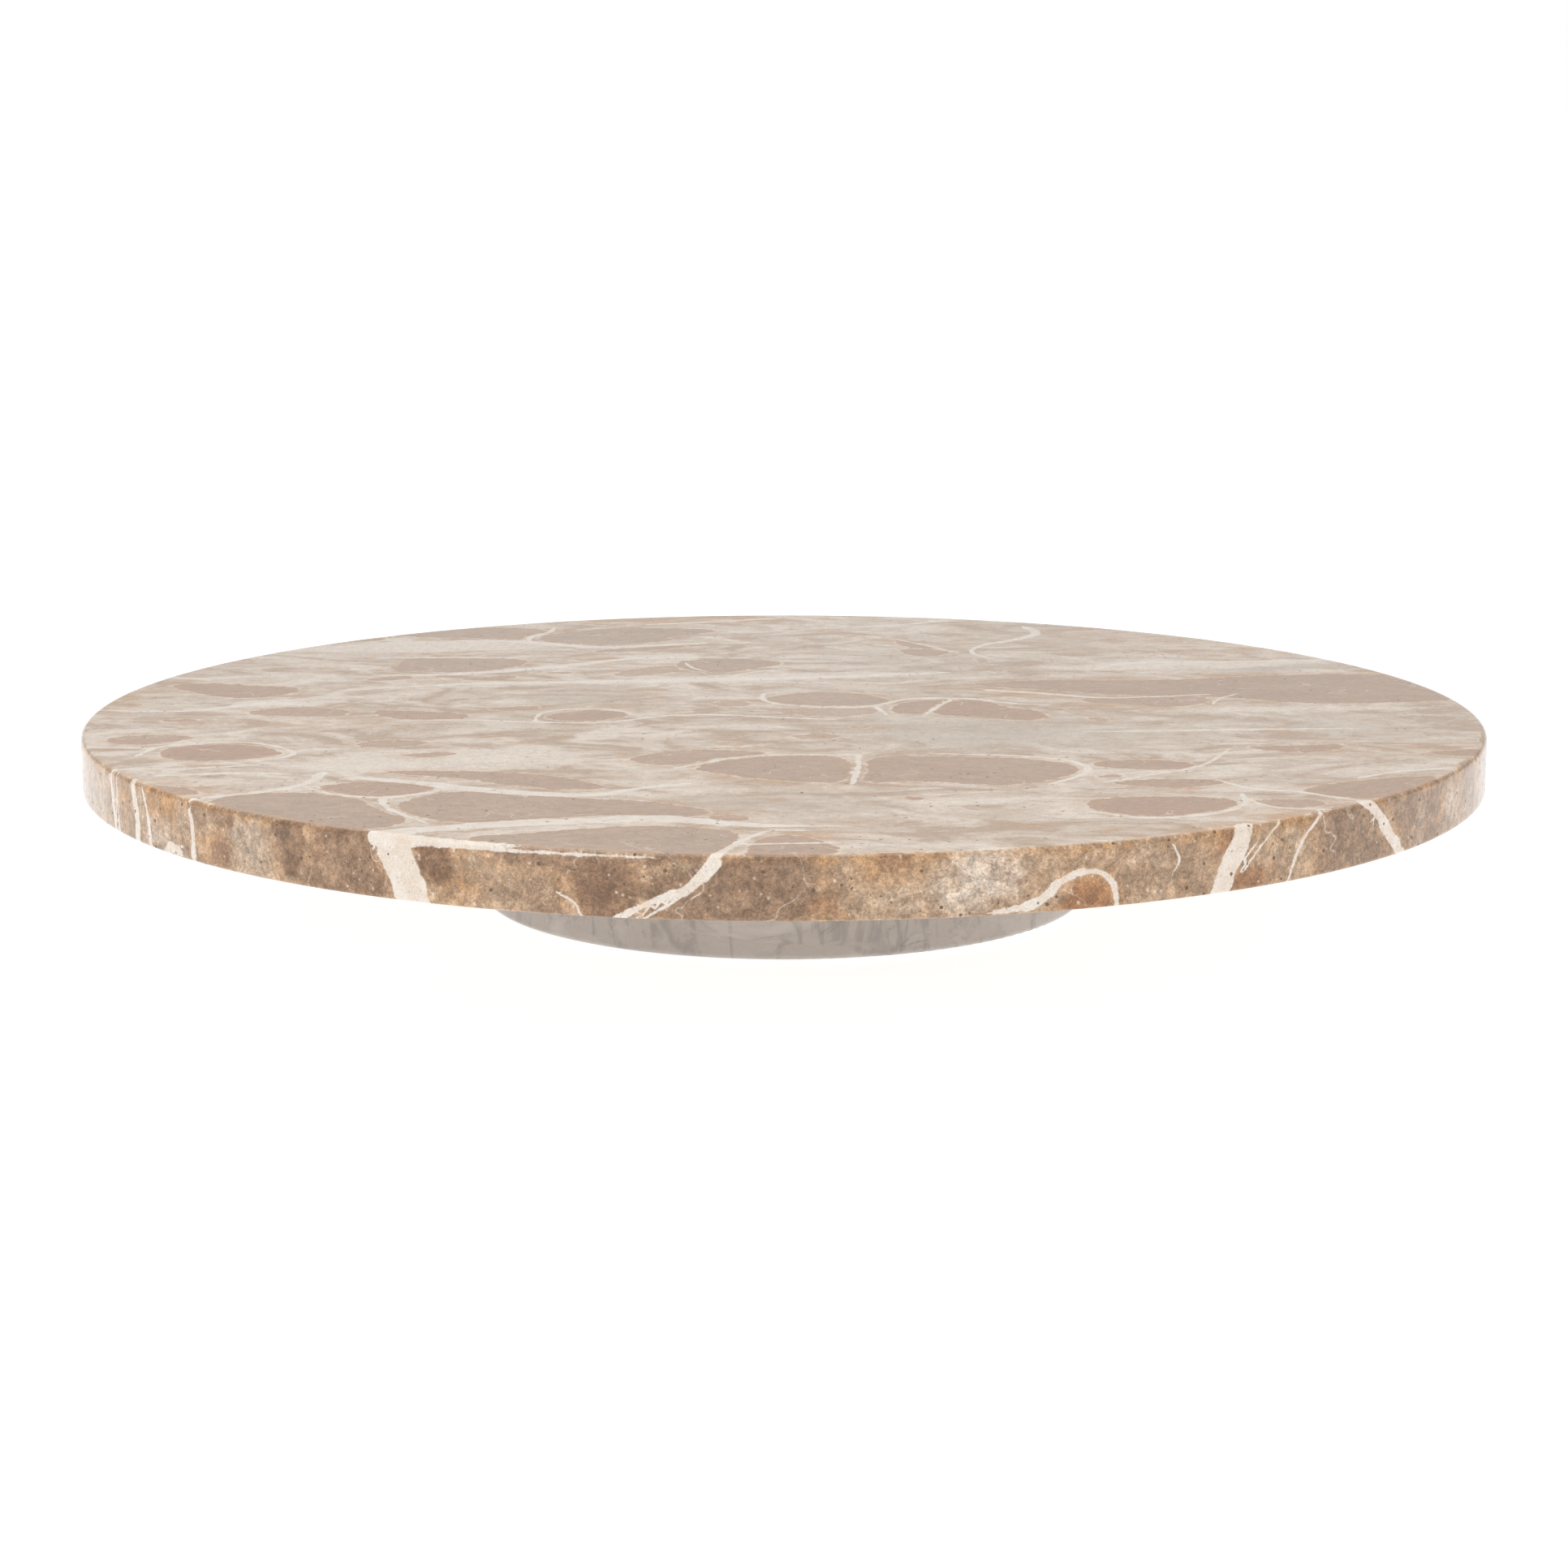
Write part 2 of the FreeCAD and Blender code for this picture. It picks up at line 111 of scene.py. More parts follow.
# On the top face, x to the right and y away from the front
FACE_CLASTS = (
    Clast(((-133, 149), (-125, 156), (-107, 167), (-97, 169), (-82, 165), (-79, 158), (-86, 150),
           (-86, 141), (-100, 143), (-117, 146)), 0.6, 0.2),
    Clast(((-150, 134), (-141, 142), (-130, 145), (-136, 137)), 0.7, 0.3),
    Clast(((-76, 156), (-60, 167), (-40, 168), (-21, 163), (-25, 156), (-40, 147), (-36, 139), (-50, 130),
           (-65, 129), (-80, 136), (-82, 147)), 0.65, 0.05),
    Clast(((-60, 112), (-62, 117), (-45, 125), (-30, 129), (-35, 121), (-48, 115)), 0.6, 0.1),
    Clast(((-122, 98), (-115, 101), (-82, 99), (-81, 88), (-90, 75), (-107, 70), (-126, 79), (-120, 86)),
          0.7, 0.2),
    Clast(((-35, 92), (-25, 99), (-10, 99), (2, 90), (-10, 78), (-21, 69), (-32, 77)), 0.7, 0.2),
    Clast(((-52, 62), (-52, 72), (-37, 88), (-31, 76), (-40, 66)), 0.35, 0.4),
    Clast(((-130, 57), (-120, 65), (-112, 61), (-122, 54)), 0.5, 0.3),
    Clast(((-102, 56), (-90, 64), (-81, 65), (-86, 55)), 0.5, 0.3),
    Clast(((-76, 71), (-65, 74), (-67, 67)), 0.4, 0.3),
    Clast(((-130, 71), (-122, 72), (-110, 64), (-124, 66)), 0.4, 0.2),
    Clast(((-187, 47), (-175, 51), (-160, 45), (-147, 43), (-145, 32), (-159, 21), (-167, 24),
           (-180, 35)), 0.65, 0.7),
    Clast(((56, 50), (70, 54), (82, 57), (110, 55), (132, 60), (150, 66), (185, 69), (200, 58), (203, 20),
           (175, 13), (150, 13), (132, 25), (100, 27), (82, 37), (62, 43)), 0.75, 0.45),
    Clast(((91, 25), (105, 23), (124, 27), (127, 15), (112, 5), (100, 11), (87, 15)), 0.45, 0.7),
    Clast(((-5, 25), (7, 34), (20, 33), (32, 21), (30, 11), (17, 8), (2, 10), (-5, 17)), 0.5, 0.3),
    Clast(((-11, 6), (5, 4), (25, 7), (29, -2), (15, -12), (2, -6)), 0.35, 0.2),
    Clast(((32, 10), (40, 19), (48, 19), (43, 5), (40, -6), (31, -5)), 0.6, 0.5),
    Clast(((50, 19), (60, 18), (64, 7), (75, 0), (76, -14), (66, -17), (57, -11), (42, -7), (45, 5)),
          0.7, 0.8),
    Clast(((37, 142), (52, 120), (44, 121), (37, 128)), 0.45, 0.6),
    Clast(((37, 120), (49, 120), (55, 112), (47, 104), (40, 106)), 0.5, 0.4),
    Clast(((-42, -75), (-27, -62), (-7, -66), (-4, -70), (-17, -75), (-29, -88), (-40, -83)), 0.55, 0.4),
    Clast(((-26, -90), (-12, -75), (10, -71), (17, -77), (18, -95), (15, -112), (0, -109), (-15, -100)),
          0.75, 0.4),
    Clast(((22, -77), (30, -72), (45, -74), (65, -76), (78, -86), (77, -97), (67, -110), (55, -115),
           (35, -108), (20, -112), (22, -95)), 0.8, 0.35),
    Clast(((82, -81), (97, -77), (111, -84), (104, -94), (83, -90)), 0.65, 0.5),
    Clast(((82, -112), (95, -105), (114, -107), (112, -115), (97, -118)), 0.65, 0.5),
    Clast(((79, -103), (89, -98), (87, -105)), 0.5, 0.4),
    Clast(((75, -135), (87, -129), (110, -130), (115, -137), (107, -149), (92, -156), (77, -149)),
          0.65, 0.8),
    Clast(((119, -133), (134, -133), (136, -141), (125, -145), (118, -139)), 0.45, 0.5),
    Clast(((130, -122), (143, -110), (160, -103), (172, -101), (164, -120), (150, -134), (137, -128)),
          0.65, 0.6),
    Clast(((124, -59), (137, -57), (157, -54), (145, -69), (132, -65)), 0.55, 0.8),
    Clast(((168, -71), (180, -65), (192, -60), (190, -73)), 0.6, 0.8),
    Clast(((-187, -45), (-175, -39), (-162, -44), (-167, -51), (-176, -57), (-187, -52)), 0.5, 0.7),
    Clast(((-170, -64), (-162, -55), (-146, -55), (-135, -67), (-137, -74), (-152, -81), (-166, -78)),
          0.7, 0.9),
    Clast(((-119, -55), (-110, -47), (-97, -51), (-100, -57), (-112, -61)), 0.55, 0.3),
    Clast(((-105, -71), (-90, -66), (-88, -71), (-97, -76)), 0.5, 0.4),
    Clast(((-69, -8), (-60, 1), (-47, 0), (-44, -9), (-55, -19), (-67, -16)), 0.7, 0.6),
    Clast(((-120, 0), (-112, 1), (-92, -4), (-90, -12), (-100, -17), (-115, -12)), 0.55, 0.6),
    Clast(((-157, -5), (-150, 5), (-137, 7), (-125, 0), (-127, -10), (-145, -10)), 0.45, 0.7),
    Clast(((-86, 5), (-72, 9), (-71, 1), (-85, 0)), 0.5, 0.6),
    Clast(((-179, -17), (-170, -13), (-166, -17), (-175, -20)), 0.5, 0.8),
    Clast(((1, -42), (10, -37), (17, -42), (12, -47), (4, -46)), 0.4, 1.0),
    Clast(((19, -26), (24, -25), (24, -30), (19, -30)), 0.3, 0.5),
    Clast(((30, -130), (36, -130), (35, -134), (31, -134)), 0.9, 0.9),
    Clast(((-107, -95), (-92, -94), (-75, -96), (-60, -101), (-50, -110), (-44, -118), (-55, -121),
           (-70, -115), (-85, -104), (-98, -100)), 0.75, 0.4),
    Clast(((-120, -115), (-107, -109), (-93, -112), (-88, -118), (-93, -125), (-104, -131), (-117, -122)),
          0.7, 0.6),
    Clast(((-86, -122), (-70, -125), (-50, -132), (-35, -135), (-20, -145), (-17, -152), (-27, -157),
           (-40, -152), (-60, -158), (-80, -164), (-94, -151), (-97, -137)), 0.8, 0.25),
    Clast(((-147, -132), (-125, -122), (-107, -131), (-102, -145), (-90, -160), (-99, -172), (-117, -163),
           (-135, -150)), 0.8, 0.2),
    Clast(((-79, -181), (-60, -174), (-35, -165), (-15, -170), (-10, -177), (-12, -190), (-15, -203),
           (-60, -203)), 0.8, 0.15),
    Clast(((-8, -186), (-2, -176), (7, -180), (15, -196), (4, -203), (-9, -203)), 0.65, 0.4),
    Clast(((-20, -155), (-10, -152), (-8, -160), (-16, -161)), 0.5, 0.9),
    Clast(((-164, -113), (-152, -118), (-146, -128), (-160, -126)), 0.4, 0.9),
    Clast(((60, 100), (66, 96), (63, 91)), 0.35, 0.4),
    Clast(((86, -10), (92, -12), (93, -19), (88, -16)), 0.4, 0.3),
    Clast(((-22, 15), (-12, 20), (-9, 8), (-19, 7)), 0.3, 0.6),
)
FACE_VEINS = (
    Vein(((-112, -184, 2), (-99, -175, 2.6), (-85, -170, 3.4), (-65, -162.5, 3.6), (-45, -160, 3.4),
          (-32, -156, 4), (-20, -161, 3.2), (-2, -167, 1.6), (14, -166, 0.5))),
    Vein(((-112, -104, 1.6), (-95, -110, 2.6), (-80, -120, 3), (-60, -127, 2.6), (-46, -128, 2),
          (-40, -120, 1.4), (-25, -112, 0.8))),
    Vein(((-150, -133, 1), (-128, -121, 1.4), (-122, -110, 1.2), (-121, -98, 1.6))),
    Vein(((-123, -116, 0.5), (-115, -127, 0.8), (-101, -132, 1.3), (-90, -125, 0.8), (-85, -118, 0.5))),
    Vein(((-101, -132, 1.2), (-99, -145, 0.8), (-87, -162, 0.5))),
    Vein(((-174, -72, 0.6), (-172, -60, 0.8), (-162, -52, 1), (-145, -51, 1), (-133, -65, 0.8),
          (-132, -73, 0.8), (-145, -83, 0.8), (-164, -86, 0.5))),
    Vein(((-192, -59, 0.8), (-180, -61, 1), (-172, -60, 0.9))),
    Vein(((-199, 1, 0.7), (-180, -2, 1), (-167, 2, 1.8), (-152, 15, 3), (-138, 9, 1))),
    Vein(((-42, -15, 0.5), (-35, -8, 1), (-20, -6, 1.2), (0, -12, 1), (14, -15, 0.5))),
    Vein(((-112, -17, 0.5), (-90, -15, 0.7), (-75, -19, 0.8), (-55, -21.5, 0.9), (-45, -17, 0.9),
          (-38, -10, 0.6))),
    Vein(((-71, -18, 0.5), (-71, -3, 0.6), (-62, 3.5, 0.6), (-48, 2, 0.5), (-42, -8, 0.5))),
    Vein(((-6, 30, 0.6), (-7, 16, 0.8), (7, 6.5, 1), (22, 5, 1.2), (30, 12, 1), (36, 22, 1.4),
          (57, 22, 1.4), (64, 14, 1), (77, 10, 0.6))),
    Vein(((27, 6, 0.8), (29.5, -6, 0.7))),
    Vein(((50, 21, 0.7), (44, 5, 0.7), (40.5, -8, 0.5))),
    Vein(((62, 37, 1.6), (80, 30, 1.5), (95, 21.5, 1), (110, 25, 0.6), (126, 29, 0.6))),
    Vein(((135, 30, 0.4), (128, 20, 0.8), (126, 12, 0.5))),
    Vein(((-124, 66, 1), (-104, 66, 2), (-82, 76, 2.8), (-62, 89, 2.8), (-50, 100, 1.8), (-35, 102.5, 1.6),
          (-12, 102, 0.5))),
    Vein(((-130, 37, 0.6), (-97, 50, 1.4), (-60, 52, 2), (-25, 57, 3.4), (12, 61, 2.6), (50, 71, 1))),
    Vein(((-107, 138, 1.6), (-88, 138, 2), (-76, 130, 2.6), (-60, 122, 3), (-47, 126, 2.6), (-27, 133, 1.4))),
    Vein(((-78, 168, 1), (-78, 158, 0.8), (-85, 147, 0.8), (-84, 137, 0.9))),
    Vein(((82, 170, 1.4), (86, 155, 1.8), (77, 140, 1.4), (65, 130, 1), (59, 112, 0.8), (67, 98, 0.5))),
    Vein(((20, 172, 0.8), (34, 171, 1.4), (56, 186, 1.2))),
    Vein(((37, 142, 0.4), (52, 119, 0.7), (56, 112, 0.4))),
    Vein(((98, 78, 1), (104, 88, 1), (118, 93, 1.3), (150, 93, 1.2), (175, 97, 1.4))),
    Vein(((-17, 63, 0.6), (-8, 74, 0.9), (3, 78, 0.5))),
    Vein(((85, -35, 0.5), (100, -34, 0.9), (125, -31.5, 1.1), (160, -30, 0.6))),
    Vein(((40, -69, 0.5), (68, -73, 0.8), (80, -83, 1), (80, -98, 0.9), (69, -112, 0.8))),
    Vein(((82, -111, 0.8), (98, -98, 1), (112, -87, 0.8), (121, -62, 0.3))),
    Vein(((75, -148, 0.6), (88, -158, 0.9), (105, -153, 1), (116, -140, 0.8), (116, -127, 0.7))),
    Vein(((113, -108, 0.6), (119, -120, 0.8), (131, -122, 0.9), (138, -130, 1), (152, -139, 0.9))),
    Vein(((117, -134, 0.6), (121, -144, 0.8), (134, -146, 0.6))),
    Vein(((20, -72, 0.9), (20, -84, 0.8), (19, -98, 0.9), (17.5, -113, 0.7))),
    Vein(((-28, -90, 0.8), (-14, -75, 1), (-1, -70, 0.7), (19, -71, 0.6))),
    Vein(((-16, -202, 1), (-11, -186, 1), (-7, -177, 0.8), (-3, -171, 0.7), (5, -172, 0.4))),
    Vein(((-11, -188, 0.6), (0, -187, 0.8), (12, -186, 0.5))),
    Vein(((-163, -101, 1), (-143, -97, 1.6), (-130, -99, 0.8))),
    Vein(((-178, -92, 0.6), (-158, -92, 0.8), (-140, -86, 0.5))),
    Vein(((88, -98, 0.5), (97, -94, 0.7), (106, -95, 0.5))),
    Vein(((150, -104, 0.6), (160, -95, 1), (176, -90, 0.8))),
    Vein(((-31, 90, 0.5), (-29, 80, 0.7), (-24, 73, 0.4))),
    Vein(((-2, 192, 1), (-20, 184, 1.4), (-45, 176, 1))),
    Vein(((-130, 100, 0.8), (-112, 102, 1), (-92, 102, 0.6))),
)
FACE_STAINS = (
    Stain(Tint.CREAM, -115, 125, 52, 13, 8, 0.9),
    Stain(Tint.CREAM, -150, 90, 32, 12, -30, 0.5),
    Stain(Tint.CREAM, -15, 60, 62, 8, 10, 0.8),
    Stain(Tint.CREAM, -85, 48, 40, 8, 8, 0.5),
    Stain(Tint.CREAM, -92, -80, 42, 17, 10, 1.0),
    Stain(Tint.CREAM, -70, -65, 12, 16, 0, 0.6),
    Stain(Tint.CREAM, -150, 12, 14, 8, 0, 0.9),
    Stain(Tint.CREAM, -52, -41, 7, 8, 0, 0.9),
    Stain(Tint.CREAM, 120, 84, 50, 9, 8, 0.75),
    Stain(Tint.CREAM, 150, 3, 52, 7, 4, 0.55),
    Stain(Tint.CREAM, -20, -122, 22, 8, 0, 0.5),
    Stain(Tint.CREAM, 45, -136, 20, 6, 0, 0.6),
    Stain(Tint.CREAM, 112, -100, 14, 7, 35, 0.6),
    Stain(Tint.CREAM, 160, -92, 24, 7, 25, 0.5),
    Stain(Tint.CREAM, 10, 178, 22, 12, 20, 0.45),
    Stain(Tint.OCHRE, 70, 30, 16, 6, -25, 0.8),
    Stain(Tint.OCHRE, 150, 66, 60, 5, 6, 0.8),
    Stain(Tint.OCHRE, 105, 10, 26, 9, 0, 0.6),
    Stain(Tint.OCHRE, -125, -22, 30, 9, 0, 0.5),
    Stain(Tint.OCHRE, -160, -118, 16, 12, -45, 0.9),
    Stain(Tint.OCHRE, -22, -150, 12, 8, 0, 0.8),
    Stain(Tint.OCHRE, 5, -178, 10, 6, 0, 0.6),
    Stain(Tint.OCHRE, 128, -150, 22, 10, 35, 0.7),
    Stain(Tint.OCHRE, 105, -172, 22, 8, 30, 0.7),
    Stain(Tint.OCHRE, 172, -62, 20, 8, 20, 0.5),
    Stain(Tint.OCHRE, -30, 185, 50, 9, 6, 0.7),
    Stain(Tint.OCHRE, -110, 112, 22, 5, 5, 0.5),
    Stain(Tint.OCHRE, 115, 145, 45, 25, -20, 0.35),
    Stain(Tint.OCHRE, 140, 112, 38, 14, -10, 0.3),
    Stain(Tint.OCHRE, 10, 162, 8, 5, 0, 0.6),
    Stain(Tint.OCHRE, -195, 20, 7, 30, 0, 0.5),
    Stain(Tint.OCHRE, 0, -108, 30, 6, -12, 0.6),
    Stain(Tint.OCHRE, 150, -128, 8, 12, -30, 0.6),
    Stain(Tint.GREY, 60, -35, 42, 30, 0, 0.8),
    Stain(Tint.GREY, -60, 25, 16, 14, 0, 0.7),
    Stain(Tint.GREY, -5, -140, 30, 16, 0, 0.6),
    Stain(Tint.GREY, 150, -25, 40, 20, 0, 0.4),
    Stain(Tint.GREY, 92, 150, 22, 30, 20, 0.6),
    Stain(Tint.GREY, 40, 95, 32, 26, 0, 0.4),
    Stain(Tint.GREY, -98, -24, 24, 14, 0, 0.4),
    Stain(Tint.GREY, 160, 82, 34, 5, 20, 0.8),
)

# On the rim, x along the edge from the front to the right and y down from the top face as a negative
RIM_CLASTS = (
    Clast(((-136, 1), (-127, 1), (-124, -5), (-126, -12), (-130, -16), (-134, -9)), 0.95, 0.1),
    Clast(((-123, 2), (-104, 2), (-102, -6), (-97, -17), (-128, -18), (-122, -8)), 0.5, 0.2),
    Clast(((-92, 2), (-84, 2), (-80, -5), (-82, -11), (-89, -10)), 0.85, 0.3),
    Clast(((-54, 2), (-37, 2), (-33, -8), (-38, -17), (-47, -18), (-51, -8)), 0.85, 0.2),
    Clast(((-34, -6), (-22, -4), (-12, -1), (6, 2), (9, -6), (4, -18), (-30, -18)), 0.6, 0.15),
    Clast(((5, -11.5), (8, -8.6), (12, -9.5), (12.6, -13), (9, -15), (6, -14)), 0.35, 0.7),
    Clast(((20, 0.5), (30, 0.5), (29, -4), (23, -4.5)), 0.5, 0.5),
    Clast(((65, -15.5), (68, -10), (74, -8.6), (79, -10), (80, -17), (68, -18)), 0.55, 1.0),
    Clast(((110, -1), (116, 0), (113, -7), (109, -6)), 0.5, 0.8),
    Clast(((115, -11), (124, -10), (128, -17), (112, -17)), 0.45, 0.8),
    Clast(((150, -2), (156, -3), (155, -8), (150, -7)), 0.7, 0.2),
    Clast(((-158, 0), (-150, 1), (-149, -5), (-156, -7)), 0.5, 0.3),
    Clast(((-160, -9), (-152, -8), (-151, -15), (-160, -16)), 0.5, 0.5),
    Clast(((196, 1), (206, 2), (203, -17), (192, -17)), 0.45, 0.2),
    Clast(((139, 2), (161, 2), (169, -6), (175, -17), (141, -18), (146, -8)), 0.4, 0.15),
    Clast(((170, 2), (194, 2), (190, -8), (191, -17), (186, -17), (178, -8)), 0.35, 0.1),
    Clast(((222, 2), (236, 2), (240, -17), (226, -17)), 0.3, 0.1),
    Clast(((252, 2), (300, 2), (300, -17), (256, -17)), 0.25, 0.1),
)
RIM_VEINS_AND_HIGHLIGHTS = (
    Vein(((-217, 2, 0.7), (-218, -4, 0.8), (-214, -17, 0.8))),
    Vein(((-213, 1, 0.4), (-213, -8, 0.5), (-211, -17, 0.5))),
    Vein(((-202, 2, 0.9), (-199.5, -5, 1.6), (-198, -10, 1.6), (-198, -17, 1.2))),
    Vein(((-194, -2, 0.4), (-191, -9, 0.8), (-190, -17, 0.8))),
    Vein(((-182, -16, 1.2), (-179, -13.5, 1.8), (-175, -14.5, 1.4))),
    Vein(((-169, -3, 0.6), (-167.5, -8, 1.1), (-168, -17, 0.9))),
    Vein(((-98, 3, 5), (-97, -4, 5), (-93.5, -10, 4.6), (-91, -18, 4.4))),
    # Painted highlight: the next two lines are no veins but a thin cream highlight along the rim's arris,
    # just under the top face.
    Vein(((-78, 1, 0.5), (-60, 0, 0.8), (-92, -0.6, 1.6))),
    Vein(((-90, -0.6, 0.9), (-80, -1.2, 0.6), (-60, -1.2, 0.3), (-30, -1.1, 0.22))),
    Vein(((-41, -17, 0.8), (-32, -12, 0.65), (-24, -9, 0.75), (-18, -4, 0.8), (-15, 1, 1.3))),
    Vein(((-33, -16, 0.3), (-26, -11.5, 0.35), (-19, -7, 0.45), (-15, -2, 0.7))),
    Vein(((-53, -11, 0.3), (-49, -13, 0.55), (-48, -16, 0.3))),
    Vein(((50, -15, 0.7), (58, -14.5, 1), (63, -12, 1.2), (66, -8.6, 1.1), (71, -6.7, 0.9),
          (77, -7, 0.9), (80.5, -10, 0.8), (81.4, -17, 0.6))),
    Vein(((119, 2, 3), (117, -4, 2.9), (113, -10, 2.8), (110.5, -18, 2.8))),
    Vein(((132, 1, 0.25), (126, -3.5, 0.35), (121, -8, 0.3), (118.5, -11, 0.2))),
    Vein(((149, 2, 0.3), (141, -3, 0.45), (136.5, -8, 0.65), (132.5, -17, 0.3))),
    Vein(((160, 2, 1), (167, -2, 1.5), (173, -8, 1.9), (178, -13, 1.7), (183, -17, 1.2))),
    Vein(((97, -3, 0.25), (99, -6, 0.3), (97, -9, 0.2))),
)
RIM_STAINS = (
    Stain(Tint.OCHRE, -206, -4, 4, 10, 0, 1.4),
    Stain(Tint.OCHRE, -185, -3, 10, 5, 0, 1.5),
    Stain(Tint.OCHRE, -203, -1, 12, 1.5, 0, 0.8),
    Stain(Tint.OCHRE, -161, -10, 6, 6, 0, 0.7),
    Stain(Tint.OCHRE, -227, -3, 10, 3, 0, 0.6),
    Stain(Tint.OCHRE, -250, -8, 20, 3, 20, 0.5),
    Stain(Tint.OCHRE, 179, -6, 2.5, 11, 40, 0.9),
    Stain(Tint.OCHRE, 203, -8, 3, 9, -10, 0.9),
    Stain(Tint.OCHRE, 232, -4, 20, 2.5, -8, 0.7),
    Stain(Tint.OCHRE, 262, -6, 18, 2, -10, 0.8),
    Stain(Tint.OCHRE, 280, -9, 20, 2, -10, 0.6),
    Stain(Tint.OCHRE, 74, -12, 8, 5, 0, 0.8),
    Stain(Tint.OCHRE, 26, -3, 9, 4, 0, 0.5),
    Stain(Tint.OCHRE, -80, -11, 6, 6, 0, 0.6),
    Stain(Tint.OCHRE, -128.5, -10.5, 2, 2, 0, 1.0),
    Stain(Tint.CREAM, -133, -5, 1.6, 4.5, 10, 0.8),
    Stain(Tint.CREAM, -129.5, -2.8, 1.3, 1.2, 0, 1.0),
    Stain(Tint.CREAM, -186, -11, 14, 8, 0, 0.35),
    Stain(Tint.CREAM, -225, -9, 22, 10, 0, 0.25),
    Stain(Tint.CREAM, 46, -7, 18, 12, 20, 0.45),
    Stain(Tint.CREAM, 30, -12, 14, 6, 0, 0.35),
    Stain(Tint.CREAM, 213, -8, 6, 9, 0, 0.4),
    Stain(Tint.CREAM, 90, -6, 10, 7, 0, 0.25),
    Stain(Tint.CREAM, 139, -6, 8, 7, 20, 0.3),
    Stain(Tint.GREY, -250, -8, 30, 9, 0, 0.4),
    Stain(Tint.GREY, -145, -8, 8, 8, 0, 0.5),
    Stain(Tint.GREY, 285, -8, 40, 9, 0, 0.3),
    Stain(Tint.GREY, 158, -8, 10, 9, 0, 0.4),
    Stain(Tint.GREY, 190, -8, 8, 9, 0, 0.6),
)


# ---------------------------------------------------------------------------------------------------------
# The stone's pattern as values at points
# ---------------------------------------------------------------------------------------------------------


def cut_corners(course: Sequence[Sequence[float]], closed: bool, rounds: int = 2) -> np.ndarray:
    """Softens a polyline by cutting its corners.

    Args:
        course: the points, each with two or more numbers.
        closed: whether the last point joins the first.
        rounds: how many times the corners are cut.

    Returns:
        The softened points, one per row. An open line keeps its ends.
    """
    points = np.array(course, float)
    for _ in range(rounds):
        following = np.roll(points, -1, axis=0) if closed else points[1:]
        leading = points if closed else points[:-1]
        near = 0.75 * leading + 0.25 * following
        far = 0.25 * leading + 0.75 * following
        softened = np.stack([near, far], axis=1).reshape(-1, points.shape[1])
        points = softened if closed else np.vstack([points[:1], softened[1:-1], points[-1:]])
    return points


@dataclass
class Nearest:
    """For each of many points, what lies nearest on a line."""

    distance: np.ndarray
    side: np.ndarray
    width: np.ndarray


def nearest_on(line: np.ndarray, points: np.ndarray) -> Nearest:
    """Measures points against a polyline.

    Args:
        line: rows of x, y and a half width.
        points: rows of x and y.

    Returns:
        The distance to the line, the signed distance to its side and its half width there.
    """
    found = Nearest(np.full(len(points), FAR), np.full(len(points), FAR), np.zeros(len(points)))
    for start, end in zip(line[:-1], line[1:]):
        along = end[:2] - start[:2]
        offset = points - start[:2]
        share = np.clip(offset @ along / max(along @ along, 1e-9), 0, 1)
        gap = offset - share[:, None] * along
        distance = np.hypot(gap[:, 0], gap[:, 1])
        turn = np.sign(along[0] * offset[:, 1] - along[1] * offset[:, 0])
        nearer = distance < found.distance
        found.distance[nearer] = distance[nearer]
        found.side[nearer] = (distance * turn)[nearer]
        found.width[nearer] = (start[2] + share * (end[2] - start[2]))[nearer]
    return found


def inside(outline: np.ndarray, points: np.ndarray) -> np.ndarray:
    """Tells which points lie inside a closed outline.

    Args:
        outline: rows of x and y.
        points: rows of x and y.

    Returns:
        True for each point inside.
    """
    held = np.zeros(len(points), bool)
    for (x0, y0), (x1, y1) in zip(outline, np.roll(outline, -1, axis=0)):
        crosses = (y0 > points[:, 1]) != (y1 > points[:, 1])
        reach = x0 + (points[:, 1] - y0) * (x1 - x0) / (y1 - y0 if y1 != y0 else 1e-9)
        held ^= crosses & (points[:, 0] < reach)
    return held


@dataclass
class Pattern:
    """What the stone's material reads at each point of the mesh."""

    clast: np.ndarray
    vein: np.ndarray
    ground: np.ndarray
    cut: np.ndarray

    @classmethod
    def blank(cls, count: int) -> "Pattern":
        """A pattern with nothing in it.

        Args:
            count: how many points it is for.

        Returns:
            The pattern.
        """
        clast = np.tile([FAR, 0.5, 0.3], (count, 1))
        vein = np.tile([FAR, FAR, 0.0], (count, 1))
        return cls(clast, vein, np.zeros((count, 3)), np.zeros(count))

    def overlay(self, other: "Pattern", rows: np.ndarray, retreat: np.ndarray) -> None:
        """Lays another pattern over some rows of this one.

        Args:
            other: the pattern for those rows.
            rows: the numbers of the rows.
            retreat: for each row, how far the other pattern's features draw back there.
        """
        clast = other.clast.copy()
        clast[:, 0] += retreat
        nearer = clast[:, 0] < self.clast[rows, 0]
        self.clast[rows[nearer]] = clast[nearer]
        vein = other.vein.copy()
        vein[:, 2] = np.maximum(vein[:, 2] - 0.4 * retreat, 0)
        stronger = vein[:, 1] - vein[:, 2] < self.vein[rows, 1] - self.vein[rows, 2]
        self.vein[rows[stronger]] = vein[stronger]
        fading = np.clip(1 - retreat / 6, 0, 1)[:, None]
        self.ground[rows] = np.maximum(self.ground[rows], other.ground * fading)


